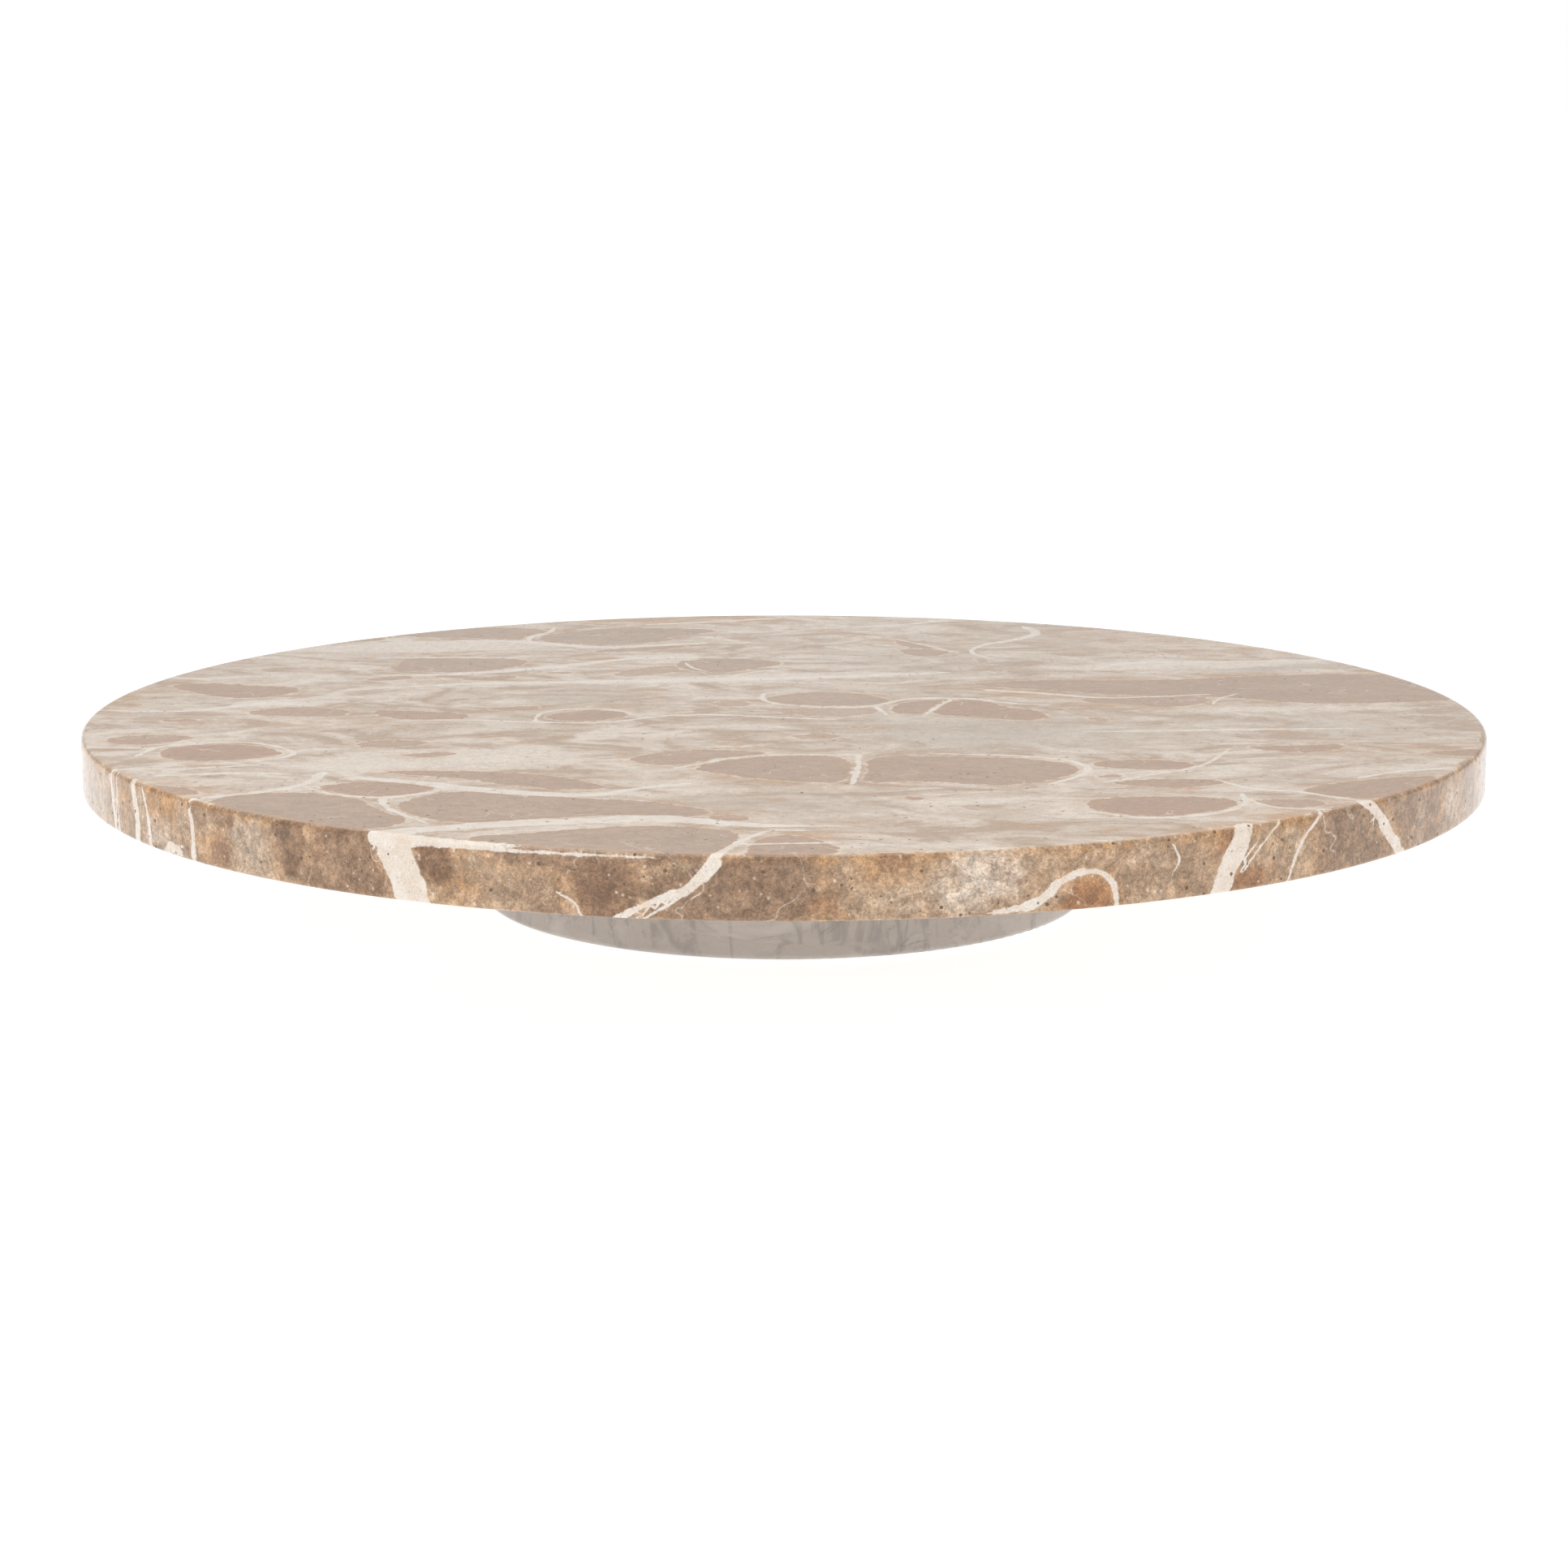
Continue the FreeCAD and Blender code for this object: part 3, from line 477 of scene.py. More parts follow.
@dataclass(frozen=True)
class FeatureSheet:
    """One flat sheet of listed features."""

    clasts: tuple[Clast, ...]
    veins: tuple[Vein, ...]
    stains: tuple[Stain, ...]
    depth_of_tone: float = 1.0
    reach: float = 9.0

    def near(self, line: np.ndarray, points: np.ndarray) -> np.ndarray:
        """The points that are in reach of a line's box.

        Args:
            line: the line's points.
            points: rows of x and y.

        Returns:
            The numbers of the rows.
        """
        low = line[:, :2].min(axis=0) - self.reach
        high = line[:, :2].max(axis=0) + self.reach
        return np.nonzero(((points > low) & (points < high)).all(axis=1))[0]

    def measure(self, points: np.ndarray) -> Pattern:
        """Works out the pattern at points of the sheet.

        Args:
            points: rows of x and y.

        Returns:
            The pattern, with a row for each point.
        """
        made = Pattern.blank(len(points))
        for clast in self.clasts:
            outline = cut_corners(clast.outline, closed=True, rounds=1)
            rows = self.near(outline, points)
            flat = np.column_stack([outline, np.zeros(len(outline))])
            signed = nearest_on(np.vstack([flat, flat[:1]]), points[rows]).distance
            signed[inside(outline, points[rows])] *= -1
            nearer = signed < made.clast[rows, 0]
            made.clast[rows[nearer], 0] = signed[nearer]
            made.clast[rows[nearer], 1:] = clast.tone * self.depth_of_tone, clast.red
        for vein in self.veins:
            course = cut_corners(vein.course, closed=False)
            rows = self.near(course, points)
            found = nearest_on(course, points[rows])
            stronger = found.distance - found.width < made.vein[rows, 1] - made.vein[rows, 2]
            made.vein[rows[stronger]] = np.column_stack([found.side, found.distance, found.width])[stronger]
        for stain_and_highlight in self.stains:
            turn = math.radians(stain_and_highlight.angle)
            offset = points - (stain_and_highlight.x, stain_and_highlight.y)
            along = (offset @ (math.cos(turn), math.sin(turn))) / stain_and_highlight.long
            across = (offset @ (-math.sin(turn), math.cos(turn))) / stain_and_highlight.short
            amount = stain_and_highlight.strength * np.exp(-(along**2 + across**2) ** 1.5)
            column = made.ground[:, stain_and_highlight.tint.value]
            np.maximum(column, amount, out=column)
        return made


@dataclass(frozen=True)
class BrecciaBlock:
    """The block of breccia that the plate is cut from, as a pattern in space.

    The face's features run down through the slab on a slant. On the front half of the rim they give way to
    the rim's own features, which in turn wrap a little way onto the two faces. The back half of the rim has
    the face's features as they come, among the rim's own turned upside down.
    """

    radius: float
    top: float
    thickness: float
    face: FeatureSheet = FeatureSheet(FACE_CLASTS, FACE_VEINS, FACE_STAINS, 0.4)
    rim: FeatureSheet = FeatureSheet(RIM_CLASTS, RIM_VEINS_AND_HIGHLIGHTS, RIM_STAINS)
    slant: Point = (0.35, -0.25)
    wrap: float = 3.0
    arris: float = 1.3

    def measure(self, points: np.ndarray) -> Pattern:
        """Works out the pattern at points of the plate.

        Args:
            points: rows of x, y and z.

        Returns:
            The pattern, with a row for each point.
        """
        depth = self.top - points[:, 2]
        reach = np.hypot(points[:, 0], points[:, 1])
        front = np.clip(-points[:, 1] / self.radius / 0.12, 0, 1)
        back = np.clip(points[:, 1] / self.radius / 0.12, 0, 1)
        on_rim = np.clip((reach - (self.radius - 1)) / 0.5, 0, 1)
        made = self.face.measure(points[:, :2] + depth[:, None] * np.array(self.slant))
        retreat = 1.6 * depth * front * on_rim
        made.clast[:, 0] += retreat
        made.vein[:, 2] = np.maximum(made.vein[:, 2] - 0.5 * retreat, 0)
        made.ground *= np.exp(-0.25 * retreat)[:, None]
        made.cut[:] = on_rim
        # Painted highlight: an ochre band that runs all round the rim along the arris, laid into the ochre
        # stains.
        stain_and_highlight = 0.6 * on_rim * np.exp(-(((depth - self.arris) / self.arris) ** 2))
        ochre = made.ground[:, Tint.OCHRE.value]
        np.maximum(ochre, stain_and_highlight, out=ochre)
        inward = np.maximum(self.radius - reach - 1, 0)
        rows = np.nonzero((reach > self.radius - self.wrap) & (front > 0))[0]
        run = np.arctan2(points[rows, 0], -points[rows, 1]) * self.radius
        rim = self.rim.measure(np.column_stack([run, -depth[rows]]))
        made.overlay(rim, rows, 1.8 * inward[rows] + FAR * (1 - front[rows]))
        rows = np.nonzero((on_rim > 0) & (back > 0))[0]
        run = np.arctan2(points[rows, 0], points[rows, 1]) * self.radius
        rim = self.rim.measure(np.column_stack([9 + 0.9 * run, depth[rows] - self.thickness]))
        near_top = 1.3 * np.maximum(4 - depth[rows], 0)
        made.overlay(rim, rows, near_top + 1.8 * inward[rows] + FAR * (1 - back[rows]))
        return made


# ---------------------------------------------------------------------------------------------------------
# Materials
# ---------------------------------------------------------------------------------------------------------


def shade(red: float, green: float, blue: float) -> tuple[float, float, float, float]:
    """Turns a colour given in screen values from 0 to 255 into linear light.

    Args:
        red: the red value.
        green: the green value.
        blue: the blue value.

    Returns:
        The linear colour with full alpha.
    """
    linear = [((v / 255 + 0.055) / 1.055) ** 2.4 if v > 10 else v / 255 / 12.92 for v in (red, green, blue)]
    return (*linear, 1.0)


class Bench:
    """A material on the bench: short ways to add and join shader nodes."""

    def __init__(self, name: str) -> None:
        """Makes an empty node material.

        Args:
            name: the material's name.
        """
        self.material = bpy.data.materials.new(name)
        self.material.use_nodes = True
        self.tree = self.material.node_tree
        self.surface = self.tree.nodes["Principled BSDF"]
        self.place = self.tree.nodes.new("ShaderNodeTexCoord").outputs["Object"]

    def fill(self, socket: Socket, value: object) -> None:
        """Joins a socket to another one, or sets it to a constant.

        Args:
            socket: the socket that is filled.
            value: the other socket, or the constant.
        """
        if isinstance(value, bpy.types.NodeSocket):
            self.tree.links.new(value, socket)
        else:
            socket.default_value = value

    def stretched(self, scale: Sequence[float], turn: float = 0.0) -> Socket:
        """Object coordinates in millimetres, stretched and turned.

        Args:
            scale: the factor along X, Y and Z.
            turn: the angle about Z, in degrees.

        Returns:
            The coordinates.
        """
        node = self.tree.nodes.new("ShaderNodeMapping")
        node.inputs["Scale"].default_value = [factor / MM for factor in scale]
        node.inputs["Rotation"].default_value = (0, 0, math.radians(turn))
        self.fill(node.inputs["Vector"], self.place)
        return node.outputs["Vector"]

    def math(self, operation: str, *values: object, clamp: bool = False) -> Socket:
        """A Math node on up to three values.

        Args:
            operation: what it does.
            *values: its sockets or constants.
            clamp: whether the result is kept between 0 and 1.

        Returns:
            The result.
        """
        node = self.tree.nodes.new("ShaderNodeMath")
        node.operation = operation
        node.use_clamp = clamp
        for socket, value in zip(node.inputs, values):
            self.fill(socket, value)
        return node.outputs[0]

    def ramp(self, value: Socket, start: object, end: object, low: float = 0.0, high: float = 1.0) -> Socket:
        """A smooth step of a value between two others.

        Args:
            value: what is stepped.
            start: where the step begins.
            end: where it ends, which may be below the start.
            low: the result at the start.
            high: the result at the end.

        Returns:
            The stepped value.
        """
        node = self.tree.nodes.new("ShaderNodeMapRange")
        node.interpolation_type = "SMOOTHSTEP"
        for socket, given in zip(node.inputs, (value, start, end, low, high)):
            self.fill(socket, given)
        return node.outputs["Result"]

    def noise(self, place: Socket, size: float, detail: float = 3.0, rough: float = 0.5,
              warp: float = 0.0) -> Socket:
        """Cloudy noise around one half.

        Args:
            place: the coordinates, in millimetres.
            size: the size of its largest features, in millimetres.
            detail: how many finer layers it has.
            rough: how strong they are.
            warp: how much it is distorted.

        Returns:
            The noise.
        """
        node = self.tree.nodes.new("ShaderNodeTexNoise")
        self.fill(node.inputs["Vector"], place)
        for socket, value in (("Scale", 1 / size), ("Detail", detail), ("Roughness", rough),
                              ("Distortion", warp)):
            node.inputs[socket].default_value = value
        return node.outputs["Fac"]

    def cells(self, place: Socket, size: float, edges: bool = False) -> tuple[Socket, Socket]:
        """Cells of a given size.

        Args:
            place: the coordinates, in millimetres.
            size: the distance between cells, in millimetres.
            edges: whether the distance is to the cell's edge and not to its centre.

        Returns:
            The distance as a share of the size, and a random value for each cell.
        """
        node = self.tree.nodes.new("ShaderNodeTexVoronoi")
        node.feature = "DISTANCE_TO_EDGE" if edges else "F1"
        self.fill(node.inputs["Vector"], place)
        node.inputs["Scale"].default_value = 1 / size
        if edges:
            return node.outputs["Distance"], node.outputs["Distance"]
        parts = self.tree.nodes.new("ShaderNodeSeparateColor")
        self.fill(parts.inputs[0], node.outputs["Color"])
        return node.outputs["Distance"], parts.outputs[0]

    def wandering(self, place: Socket, size: float, distance: float) -> Socket:
        """Coordinates that wander.

        Args:
            place: the coordinates, in millimetres.
            size: the size of the waves that they wander in.
            distance: how far they may go.

        Returns:
            The coordinates.
        """
        noise = self.tree.nodes.new("ShaderNodeTexNoise")
        self.fill(noise.inputs["Vector"], place)
        noise.inputs["Scale"].default_value = 1 / size
        moved = self.tree.nodes.new("ShaderNodeVectorMath")
        moved.operation = "MULTIPLY_ADD"
        self.fill(moved.inputs[0], noise.outputs["Color"])
        moved.inputs[1].default_value = (distance, distance, distance)
        self.fill(moved.inputs[2], place)
        return moved.outputs[0]

    def attribute(self, name: str) -> tuple[Socket, Socket, Socket]:
        """The three numbers of a vector attribute.

        Args:
            name: the attribute's name.

        Returns:
            The numbers.
        """
        node = self.tree.nodes.new("ShaderNodeAttribute")
        node.attribute_name = name
        parts = self.tree.nodes.new("ShaderNodeSeparateXYZ")
        self.fill(parts.inputs[0], node.outputs["Vector"])
        return parts.outputs[0], parts.outputs[1], parts.outputs[2]

    def blend(self, share: object, under: object, over: object, mode: str = "MIX") -> Socket:
        """Lays one colour over another by a share.

        Args:
            share: how much of the upper colour shows.
            under: the lower colour.
            over: the upper colour.
            mode: how the two are mixed.

        Returns:
            The colour.
        """
        node = self.tree.nodes.new("ShaderNodeMix")
        node.data_type = "RGBA"
        node.blend_type = mode
        self.fill(node.inputs["Factor"], share)
        self.fill(node.inputs[6], under)
        self.fill(node.inputs[7], over)
        return node.outputs[2]

    def dim(self, colour: object, amount: Socket) -> Socket:
        """Multiplies a colour by a value.

        Args:
            colour: the colour, as a socket or a constant.
            amount: the value.

        Returns:
            The colour.
        """
        grey = self.tree.nodes.new("ShaderNodeCombineColor")
        for socket in grey.inputs:
            self.fill(socket, amount)
        return self.blend(1.0, colour, grey.outputs[0], "MULTIPLY")

    def bump(self, height: Socket, depth: float) -> None:
        """Raises the surface by a height.

        Args:
            height: the height, as a share of the depth.
            depth: the depth, in millimetres.
        """
        node = self.tree.nodes.new("ShaderNodeBump")
        node.inputs["Distance"].default_value = depth * MM
        self.fill(node.inputs["Height"], height)
        self.fill(self.surface.inputs["Normal"], node.outputs["Normal"])

    def finish(self, **values: object) -> bpy.types.Material:
        """Sets the surface's sockets, with _ for each space in their names.

        Args:
            **values: a socket or a constant for each.

        Returns:
            The material.
        """
        for name, value in values.items():
            self.fill(self.surface.inputs[name.replace("_", " ")], value)
        return self.material


@dataclass(frozen=True)
class BrownBreccia:
    """Polished brown breccia: taupe fragments with rusty edges in a greige ground, veined with calcite."""

    name: str = "brown_breccia_polished"
    ground_light: tuple = shade(221, 204, 186)
    ground_dark: tuple = shade(199, 176, 154)
    ground_grey: tuple = shade(197, 181, 164)
    cut_light: tuple = shade(203, 173, 143)
    cut_dark: tuple = shade(172, 140, 112)
    clast_light: tuple = shade(183, 154, 127)
    clast_dark: tuple = shade(132, 104, 82)
    clast_red: tuple = shade(166, 118, 82)
    rust: tuple = shade(174, 130, 88)
    ochre: tuple = shade(200, 153, 105)
    cream: tuple = shade(232, 217, 201)
    chalk: tuple = shade(240, 231, 220)
    pit: tuple = shade(112, 84, 62)

    def build(self) -> bpy.types.Material:
        """Makes the material, which reads the clast, vein, ground and cut attributes.

        Returns:
            The material.
        """
        bench = Bench(self.name)
        place = bench.stretched((1, 1, 1))
        lying = bench.stretched((0.55, 1, 0.9), turn=-7)
        node = bench.tree.nodes.new("ShaderNodeAttribute")
        node.attribute_name = "cut"
        cut = node.outputs["Fac"]
        ragged = bench.noise(place, 3.4, detail=6, rough=0.6)
        fine = bench.noise(place, 0.9, detail=4, rough=0.6)
        broad = bench.noise(place, 26, detail=5, rough=0.6, warp=0.6)
        streak = bench.noise(lying, 7.5, detail=8, rough=0.66, warp=1.1)
        colour = self.ground(bench, broad, streak, fine, cut, lying)
        colour, solid = self.fragments(bench, colour, ragged, fine, streak, cut)
        colour, calcite = self.calcite(bench, colour, place, ragged, fine)
        colour = self.threads(bench, colour, place, solid)
        colour = self.mottle(bench, colour, place, cut, calcite)
        colour, hollow = self.pits(bench, colour, place, bench.math("MAXIMUM", broad, cut), calcite)
        rough = bench.math("ADD", bench.ramp(fine, 0.3, 0.7, 0.13, 0.2), bench.math("MULTIPLY", hollow, 0.35))
        bench.bump(bench.math("SUBTRACT", bench.math("MULTIPLY", ragged, 0.12), hollow), 0.12)
        return bench.finish(Base_Color=colour, Roughness=rough, IOR=1.5, Specular_IOR_Level=0.4)

    def ground(self, bench: Bench, broad: Socket, streak: Socket, fine: Socket, cut: Socket,
               lying: Socket) -> Socket:
        """The ground between the fragments: clouds, layers and stains, and the painted highlight along the
        arris, which comes in with the ochre.

        Args:
            bench: the material.
            broad: noise for the clouds.
            streak: noise for the layers.
            fine: noise that breaks up the stains.
            cut: where the stone is cut across its layers.
            lying: coordinates stretched along the layers.

        Returns:
            The colour.
        """
        cream, ochre, grey = bench.attribute("ground")
        share = bench.math("ADD", bench.ramp(broad, 0.36, 0.64, 0, 0.45),
                           bench.ramp(streak, 0.38, 0.62, 0, 0.55))
        face = bench.blend(share, self.ground_dark, self.ground_light)
        layers = bench.noise(lying, 21, detail=8, rough=0.62, warp=1.8)
        face = bench.blend(bench.ramp(layers, 0.49, 0.39, 0, 0.8), face, self.clast_light)
        face = bench.blend(bench.ramp(layers, 0.51, 0.61, 0, 0.85), face, self.cream)
        side = bench.blend(share, self.cut_dark, self.cut_light)
        colour = bench.blend(cut, face, side)
        grey = bench.math("MULTIPLY", grey, bench.ramp(streak, 0.2, 0.6, 0.5, 1.0), clamp=True)
        colour = bench.blend(grey, colour, self.ground_grey)
        # The ochre also carries the painted highlight along the arris, broken up here like the stains.
        ochre = bench.math("MULTIPLY", ochre, bench.ramp(streak, 0.6, 0.4, 0.2, 1.0), clamp=True)
        natural = bench.ramp(bench.math("ADD", broad, streak), 0.88, 0.74, 0, bench.ramp(cut, 0, 1, 0.5, 0.2))
        colour = bench.blend(bench.math("MAXIMUM", ochre, natural), colour, self.ochre)
        cream = bench.math("MULTIPLY", cream, 1.5)
        cream = bench.ramp(bench.math("ADD", cream, streak), 0.85, 1.4)
        cream = bench.math("MULTIPLY", cream, bench.ramp(fine, 0.3, 0.6, 0.55, 0.95))
        return bench.blend(cream, colour, self.cream)

    def fragments(self, bench: Bench, colour: Socket, ragged: Socket, fine: Socket, streak: Socket,
                  cut: Socket) -> tuple[Socket, Socket]:
        """Lays the fragments over the ground: crisp with a thin pale skin on the face, soft where cut.

        Args:
            bench: the material.
            colour: the ground.
            ragged: noise that roughens the outlines.
            fine: finer noise.
            streak: noise that mottles the fragments.
            cut: where the stone is cut across its layers.

        Returns:
            The colour, and where a fragment is.
        """
        distance, tone, red = bench.attribute("clast")
        lying = bench.math("SUBTRACT", 1.0, cut)
        wander = bench.math("MULTIPLY", bench.math("SUBTRACT", ragged, 0.5), bench.ramp(cut, 0, 1, 4.2, 6.0))
        edge = bench.math("ADD", distance, wander)
        edge = bench.math("ADD", edge, bench.math("MULTIPLY", bench.math("SUBTRACT", fine, 0.5), 1.3))
        soft = bench.ramp(cut, 0, 1, 0.3, 1.5)
        solid = bench.ramp(edge, soft, bench.math("MULTIPLY", soft, -1.0))
        core = bench.ramp(edge, -0.4, -4.5)
        mottle = bench.ramp(streak, 0.36, 0.64, -0.22, 0.22)
        body = bench.blend(bench.math("ADD", tone, mottle, clamp=True), self.clast_light, self.clast_dark)
        body = bench.blend(bench.math("MULTIPLY", red, 0.9, clamp=True), body, self.clast_red)
        rim = bench.math("MULTIPLY_ADD", red, 0.5, 0.4)
        rim = bench.math("MULTIPLY", bench.math("MULTIPLY", bench.ramp(core, 1, 0), rim),
                         bench.ramp(cut, 0, 1, 1, 0.3))
        body = bench.blend(rim, body, self.rust)
        body = bench.blend(bench.math("MULTIPLY", lying, 0.17), body, self.cream)
        skin = bench.math("MULTIPLY", bench.ramp(edge, 1.4, 0.7), bench.ramp(ragged, 0.42, 0.56, 0.1, 0.7))
        colour = bench.blend(bench.math("MULTIPLY", skin, lying), colour, self.cream)
        halo = bench.math("MULTIPLY", bench.ramp(edge, 6, 1.5), bench.ramp(streak, 0.6, 0.4, 0, 0.3))
        colour = bench.blend(halo, colour, self.ochre)
        share = bench.math("MULTIPLY", solid, bench.ramp(tone, 0.05, 0.25, 0.6, 0.95))
        return bench.blend(share, colour, body), solid

    def calcite(self, bench: Bench, colour: Socket, place: Socket, ragged: Socket,
                fine: Socket) -> tuple[Socket, Socket]:
        """Lays the veins over everything, and with them the two painted highlight lines along the rim's
        arris.

        Args:
            bench: the material.
            colour: the stone so far.
            place: the coordinates.
            ragged: noise that moves the veins.
            fine: noise that frays their edges.

        Returns:
            The colour, and where a vein is.
        """
        side, near, width = bench.attribute("vein")
        swell = bench.noise(place, 5, detail=3, rough=0.6)
        change = bench.math("MULTIPLY", bench.math("MINIMUM", width, 0.9),
                            bench.ramp(swell, 0.3, 0.7, -0.38, 0.35))
        width = bench.math("ADD", width, change)
        shift = bench.math("MULTIPLY", bench.math("SUBTRACT", ragged, 0.5), 1.0)
        off = bench.math("ABSOLUTE", bench.math("ADD", side, shift))
        off = bench.math("ADD", off, bench.math("MULTIPLY", bench.math("SUBTRACT", fine, 0.5), 0.6))
        line = bench.ramp(bench.math("SUBTRACT", off, width), 0.22, -0.22)
        close = bench.ramp(bench.math("SUBTRACT", near, width), 1.5, 0.7)
        there = bench.ramp(width, 0.05, 0.2)
        vein = bench.math("MULTIPLY", bench.math("MULTIPLY", line, close), there)
        milk = bench.blend(bench.ramp(swell, 0.35, 0.65), self.cream, self.chalk)
        return bench.blend(bench.math("MULTIPLY", vein, 0.9), colour, milk), vein

    def threads(self, bench: Bench, colour: Socket, place: Socket, solid: Socket) -> Socket:
        """Draws hair-thin healed cracks, paler in the fragments and darker in the ground.

        Args:
            bench: the material.
            colour: the stone so far.
            place: the coordinates.
            solid: where a fragment is.

        Returns:
            The colour.
        """
        moved = bench.wandering(place, 9, 14)
        gap, _ = bench.cells(moved, 24, edges=True)
        patchy = bench.noise(place, 18, detail=2)
        line = bench.math("MULTIPLY", bench.ramp(gap, 0.014, 0.002), bench.ramp(patchy, 0.48, 0.6))
        shown = bench.math("MULTIPLY", line, bench.ramp(solid, 0, 1, 0.15, 0.5))
        colour = bench.blend(shown, colour, self.cream)
        gap, _ = bench.cells(moved, 11, edges=True)
        line = bench.math("MULTIPLY", bench.ramp(gap, 0.02, 0.003), bench.ramp(patchy, 0.5, 0.38))
        return bench.blend(bench.math("MULTIPLY", line, 0.3), colour, self.clast_dark)

    def mottle(self, bench: Bench, colour: Socket, place: Socket, cut: Socket, calcite: Socket) -> Socket:
        """Breaks every colour up into grains and small clouds, more so where the stone is cut across.

        Args:
            bench: the material.
            colour: the stone so far.
            place: the coordinates.
            cut: where the stone is cut across its layers.
            calcite: where a vein is.

        Returns:
            The colour.
        """
        clouds = bench.noise(place, 2.4, detail=8, rough=0.8, warp=0.4)
        low = bench.ramp(cut, 0, 1, 0.88, 0.8)
        high = bench.ramp(cut, 0, 1, 1.09, 1.12)
        start = bench.ramp(cut, 0, 1, 0.36, 0.44)
        end = bench.ramp(cut, 0, 1, 0.64, 0.56)
        amount = bench.ramp(clouds, start, end, low, high)
        amount = bench.ramp(calcite, 0, 1, amount, 1.0)
        gap, chance = bench.cells(bench.wandering(place, 2.2, 3.0), 3.8)
        tone = bench.ramp(chance, 0.15, 0.85, 0.89, 1.09)
        pebble = bench.math("MULTIPLY", tone, bench.ramp(gap, 0.45, 0.7, 1.02, 0.86))
        grit = bench.ramp(bench.noise(place, 1.0, detail=4, rough=0.75), 0.38, 0.62, 0.84, 1.14)
        pebble = bench.math("MULTIPLY", pebble, grit)
        pebble = bench.ramp(bench.math("MULTIPLY", cut, bench.ramp(calcite, 1, 0)), 0, 1, 1.0, pebble)
        gap, chance = bench.cells(place, 1.7)
        fleck = bench.math("MULTIPLY", bench.ramp(gap, 0.3, 0.16), bench.math("GREATER_THAN", chance, 0.86))
        fleck = bench.math("MULTIPLY", bench.math("MULTIPLY", fleck, cut), 0.5)
        colour = bench.blend(fleck, colour, self.cream)
        grain = bench.ramp(bench.noise(place, 0.5, detail=3, rough=0.7), 0.25, 0.75, 0.86, 1.12)
        return bench.dim(colour, bench.math("MULTIPLY", bench.math("MULTIPLY", amount, pebble), grain))

    def pits(self, bench: Bench, colour: Socket, place: Socket, broad: Socket,
             calcite: Socket) -> tuple[Socket, Socket]:
        """Sets small dark pits and specks, most of them in the pale stone.

        Args:
            bench: the material.
            colour: the stone so far.
            place: the coordinates.
            broad: where the pits gather.
            calcite: where a vein is.

        Returns:
            The colour, and how deep the pits are.
        """
        gap, chance = bench.cells(place, 2.3)
        size = bench.ramp(chance, 0.7, 1.0, 0.06, 0.2)
        gather = bench.math("MAXIMUM", bench.ramp(broad, 0.42, 0.58, 0.15, 1), calcite)
        pit = bench.math("MULTIPLY", bench.ramp(bench.math("SUBTRACT", gap, size), 0.04, -0.03), gather)
        pit = bench.math("MULTIPLY", pit, bench.math("GREATER_THAN", chance, 0.7))
        gap, chance = bench.cells(place, 0.95)
        speck = bench.math("MULTIPLY", bench.ramp(gap, 0.3, 0.12), bench.math("GREATER_THAN", chance, 0.75))
        colour = bench.blend(bench.math("MULTIPLY", speck, 0.4), colour, self.clast_dark)
        return bench.blend(bench.math("MULTIPLY", pit, 0.9), colour, self.pit), pit


@dataclass(frozen=True)
class WhiteMarble:
    """Polished white marble with soft grey veins that run on a slant."""

    name: str = "white_marble_polished"
    white: tuple = shade(200, 193, 186)
    cloud: tuple = shade(183, 175, 168)
    vein: tuple = shade(132, 127, 123)

    def build(self) -> bpy.types.Material:
        """Makes the material.

        Returns:
            The material.
        """
        bench = Bench(self.name)
        place = bench.stretched((1, 0.7, 1.25), turn=28)
        broad = bench.noise(place, 70, detail=6, rough=0.6, warp=1.2)
        middle = bench.noise(place, 34, detail=8, rough=0.62, warp=2.2)
        fine = bench.noise(place, 0.8, detail=3, rough=0.7)
        cloud = bench.ramp(broad, 0.42, 0.62)
        colour = bench.blend(cloud, self.white, self.cloud)
        for field, width, strength in ((broad, 0.03, 0.6), (middle, 0.02, 0.25)):
            away = bench.math("ABSOLUTE", bench.math("SUBTRACT", field, 0.5))
            soft = bench.math("MULTIPLY", bench.ramp(away, width * 2.4, 0), strength * 0.4)
            sharp = bench.math("MULTIPLY", bench.ramp(away, width * 0.35, 0), strength)
            gate = bench.ramp(middle if field is broad else broad, 0.44, 0.6, 0.15, 1)
            shown = bench.math("MULTIPLY", bench.math("MAXIMUM", soft, sharp), gate)
            colour = bench.blend(shown, colour, self.vein)
        upright = bench.noise(bench.stretched((1.7, 1.7, 0.4), turn=15), 30, detail=5, rough=0.55, warp=0.7)
        smoke = bench.ramp(bench.math("ABSOLUTE", bench.math("SUBTRACT", upright, 0.5)), 0.035, 0, 0, 0.45)
        smoke = bench.math("MULTIPLY", smoke, bench.ramp(middle, 0.42, 0.56, 0.1, 1))
        colour = bench.blend(smoke, colour, self.vein)
        colour = bench.dim(colour, bench.ramp(fine, 0.2, 0.8, 0.965, 1.03))
        bench.bump(fine, 0.01)
        return bench.finish(Base_Color=colour, Roughness=bench.ramp(fine, 0.3, 0.7, 0.16, 0.22), IOR=1.5)


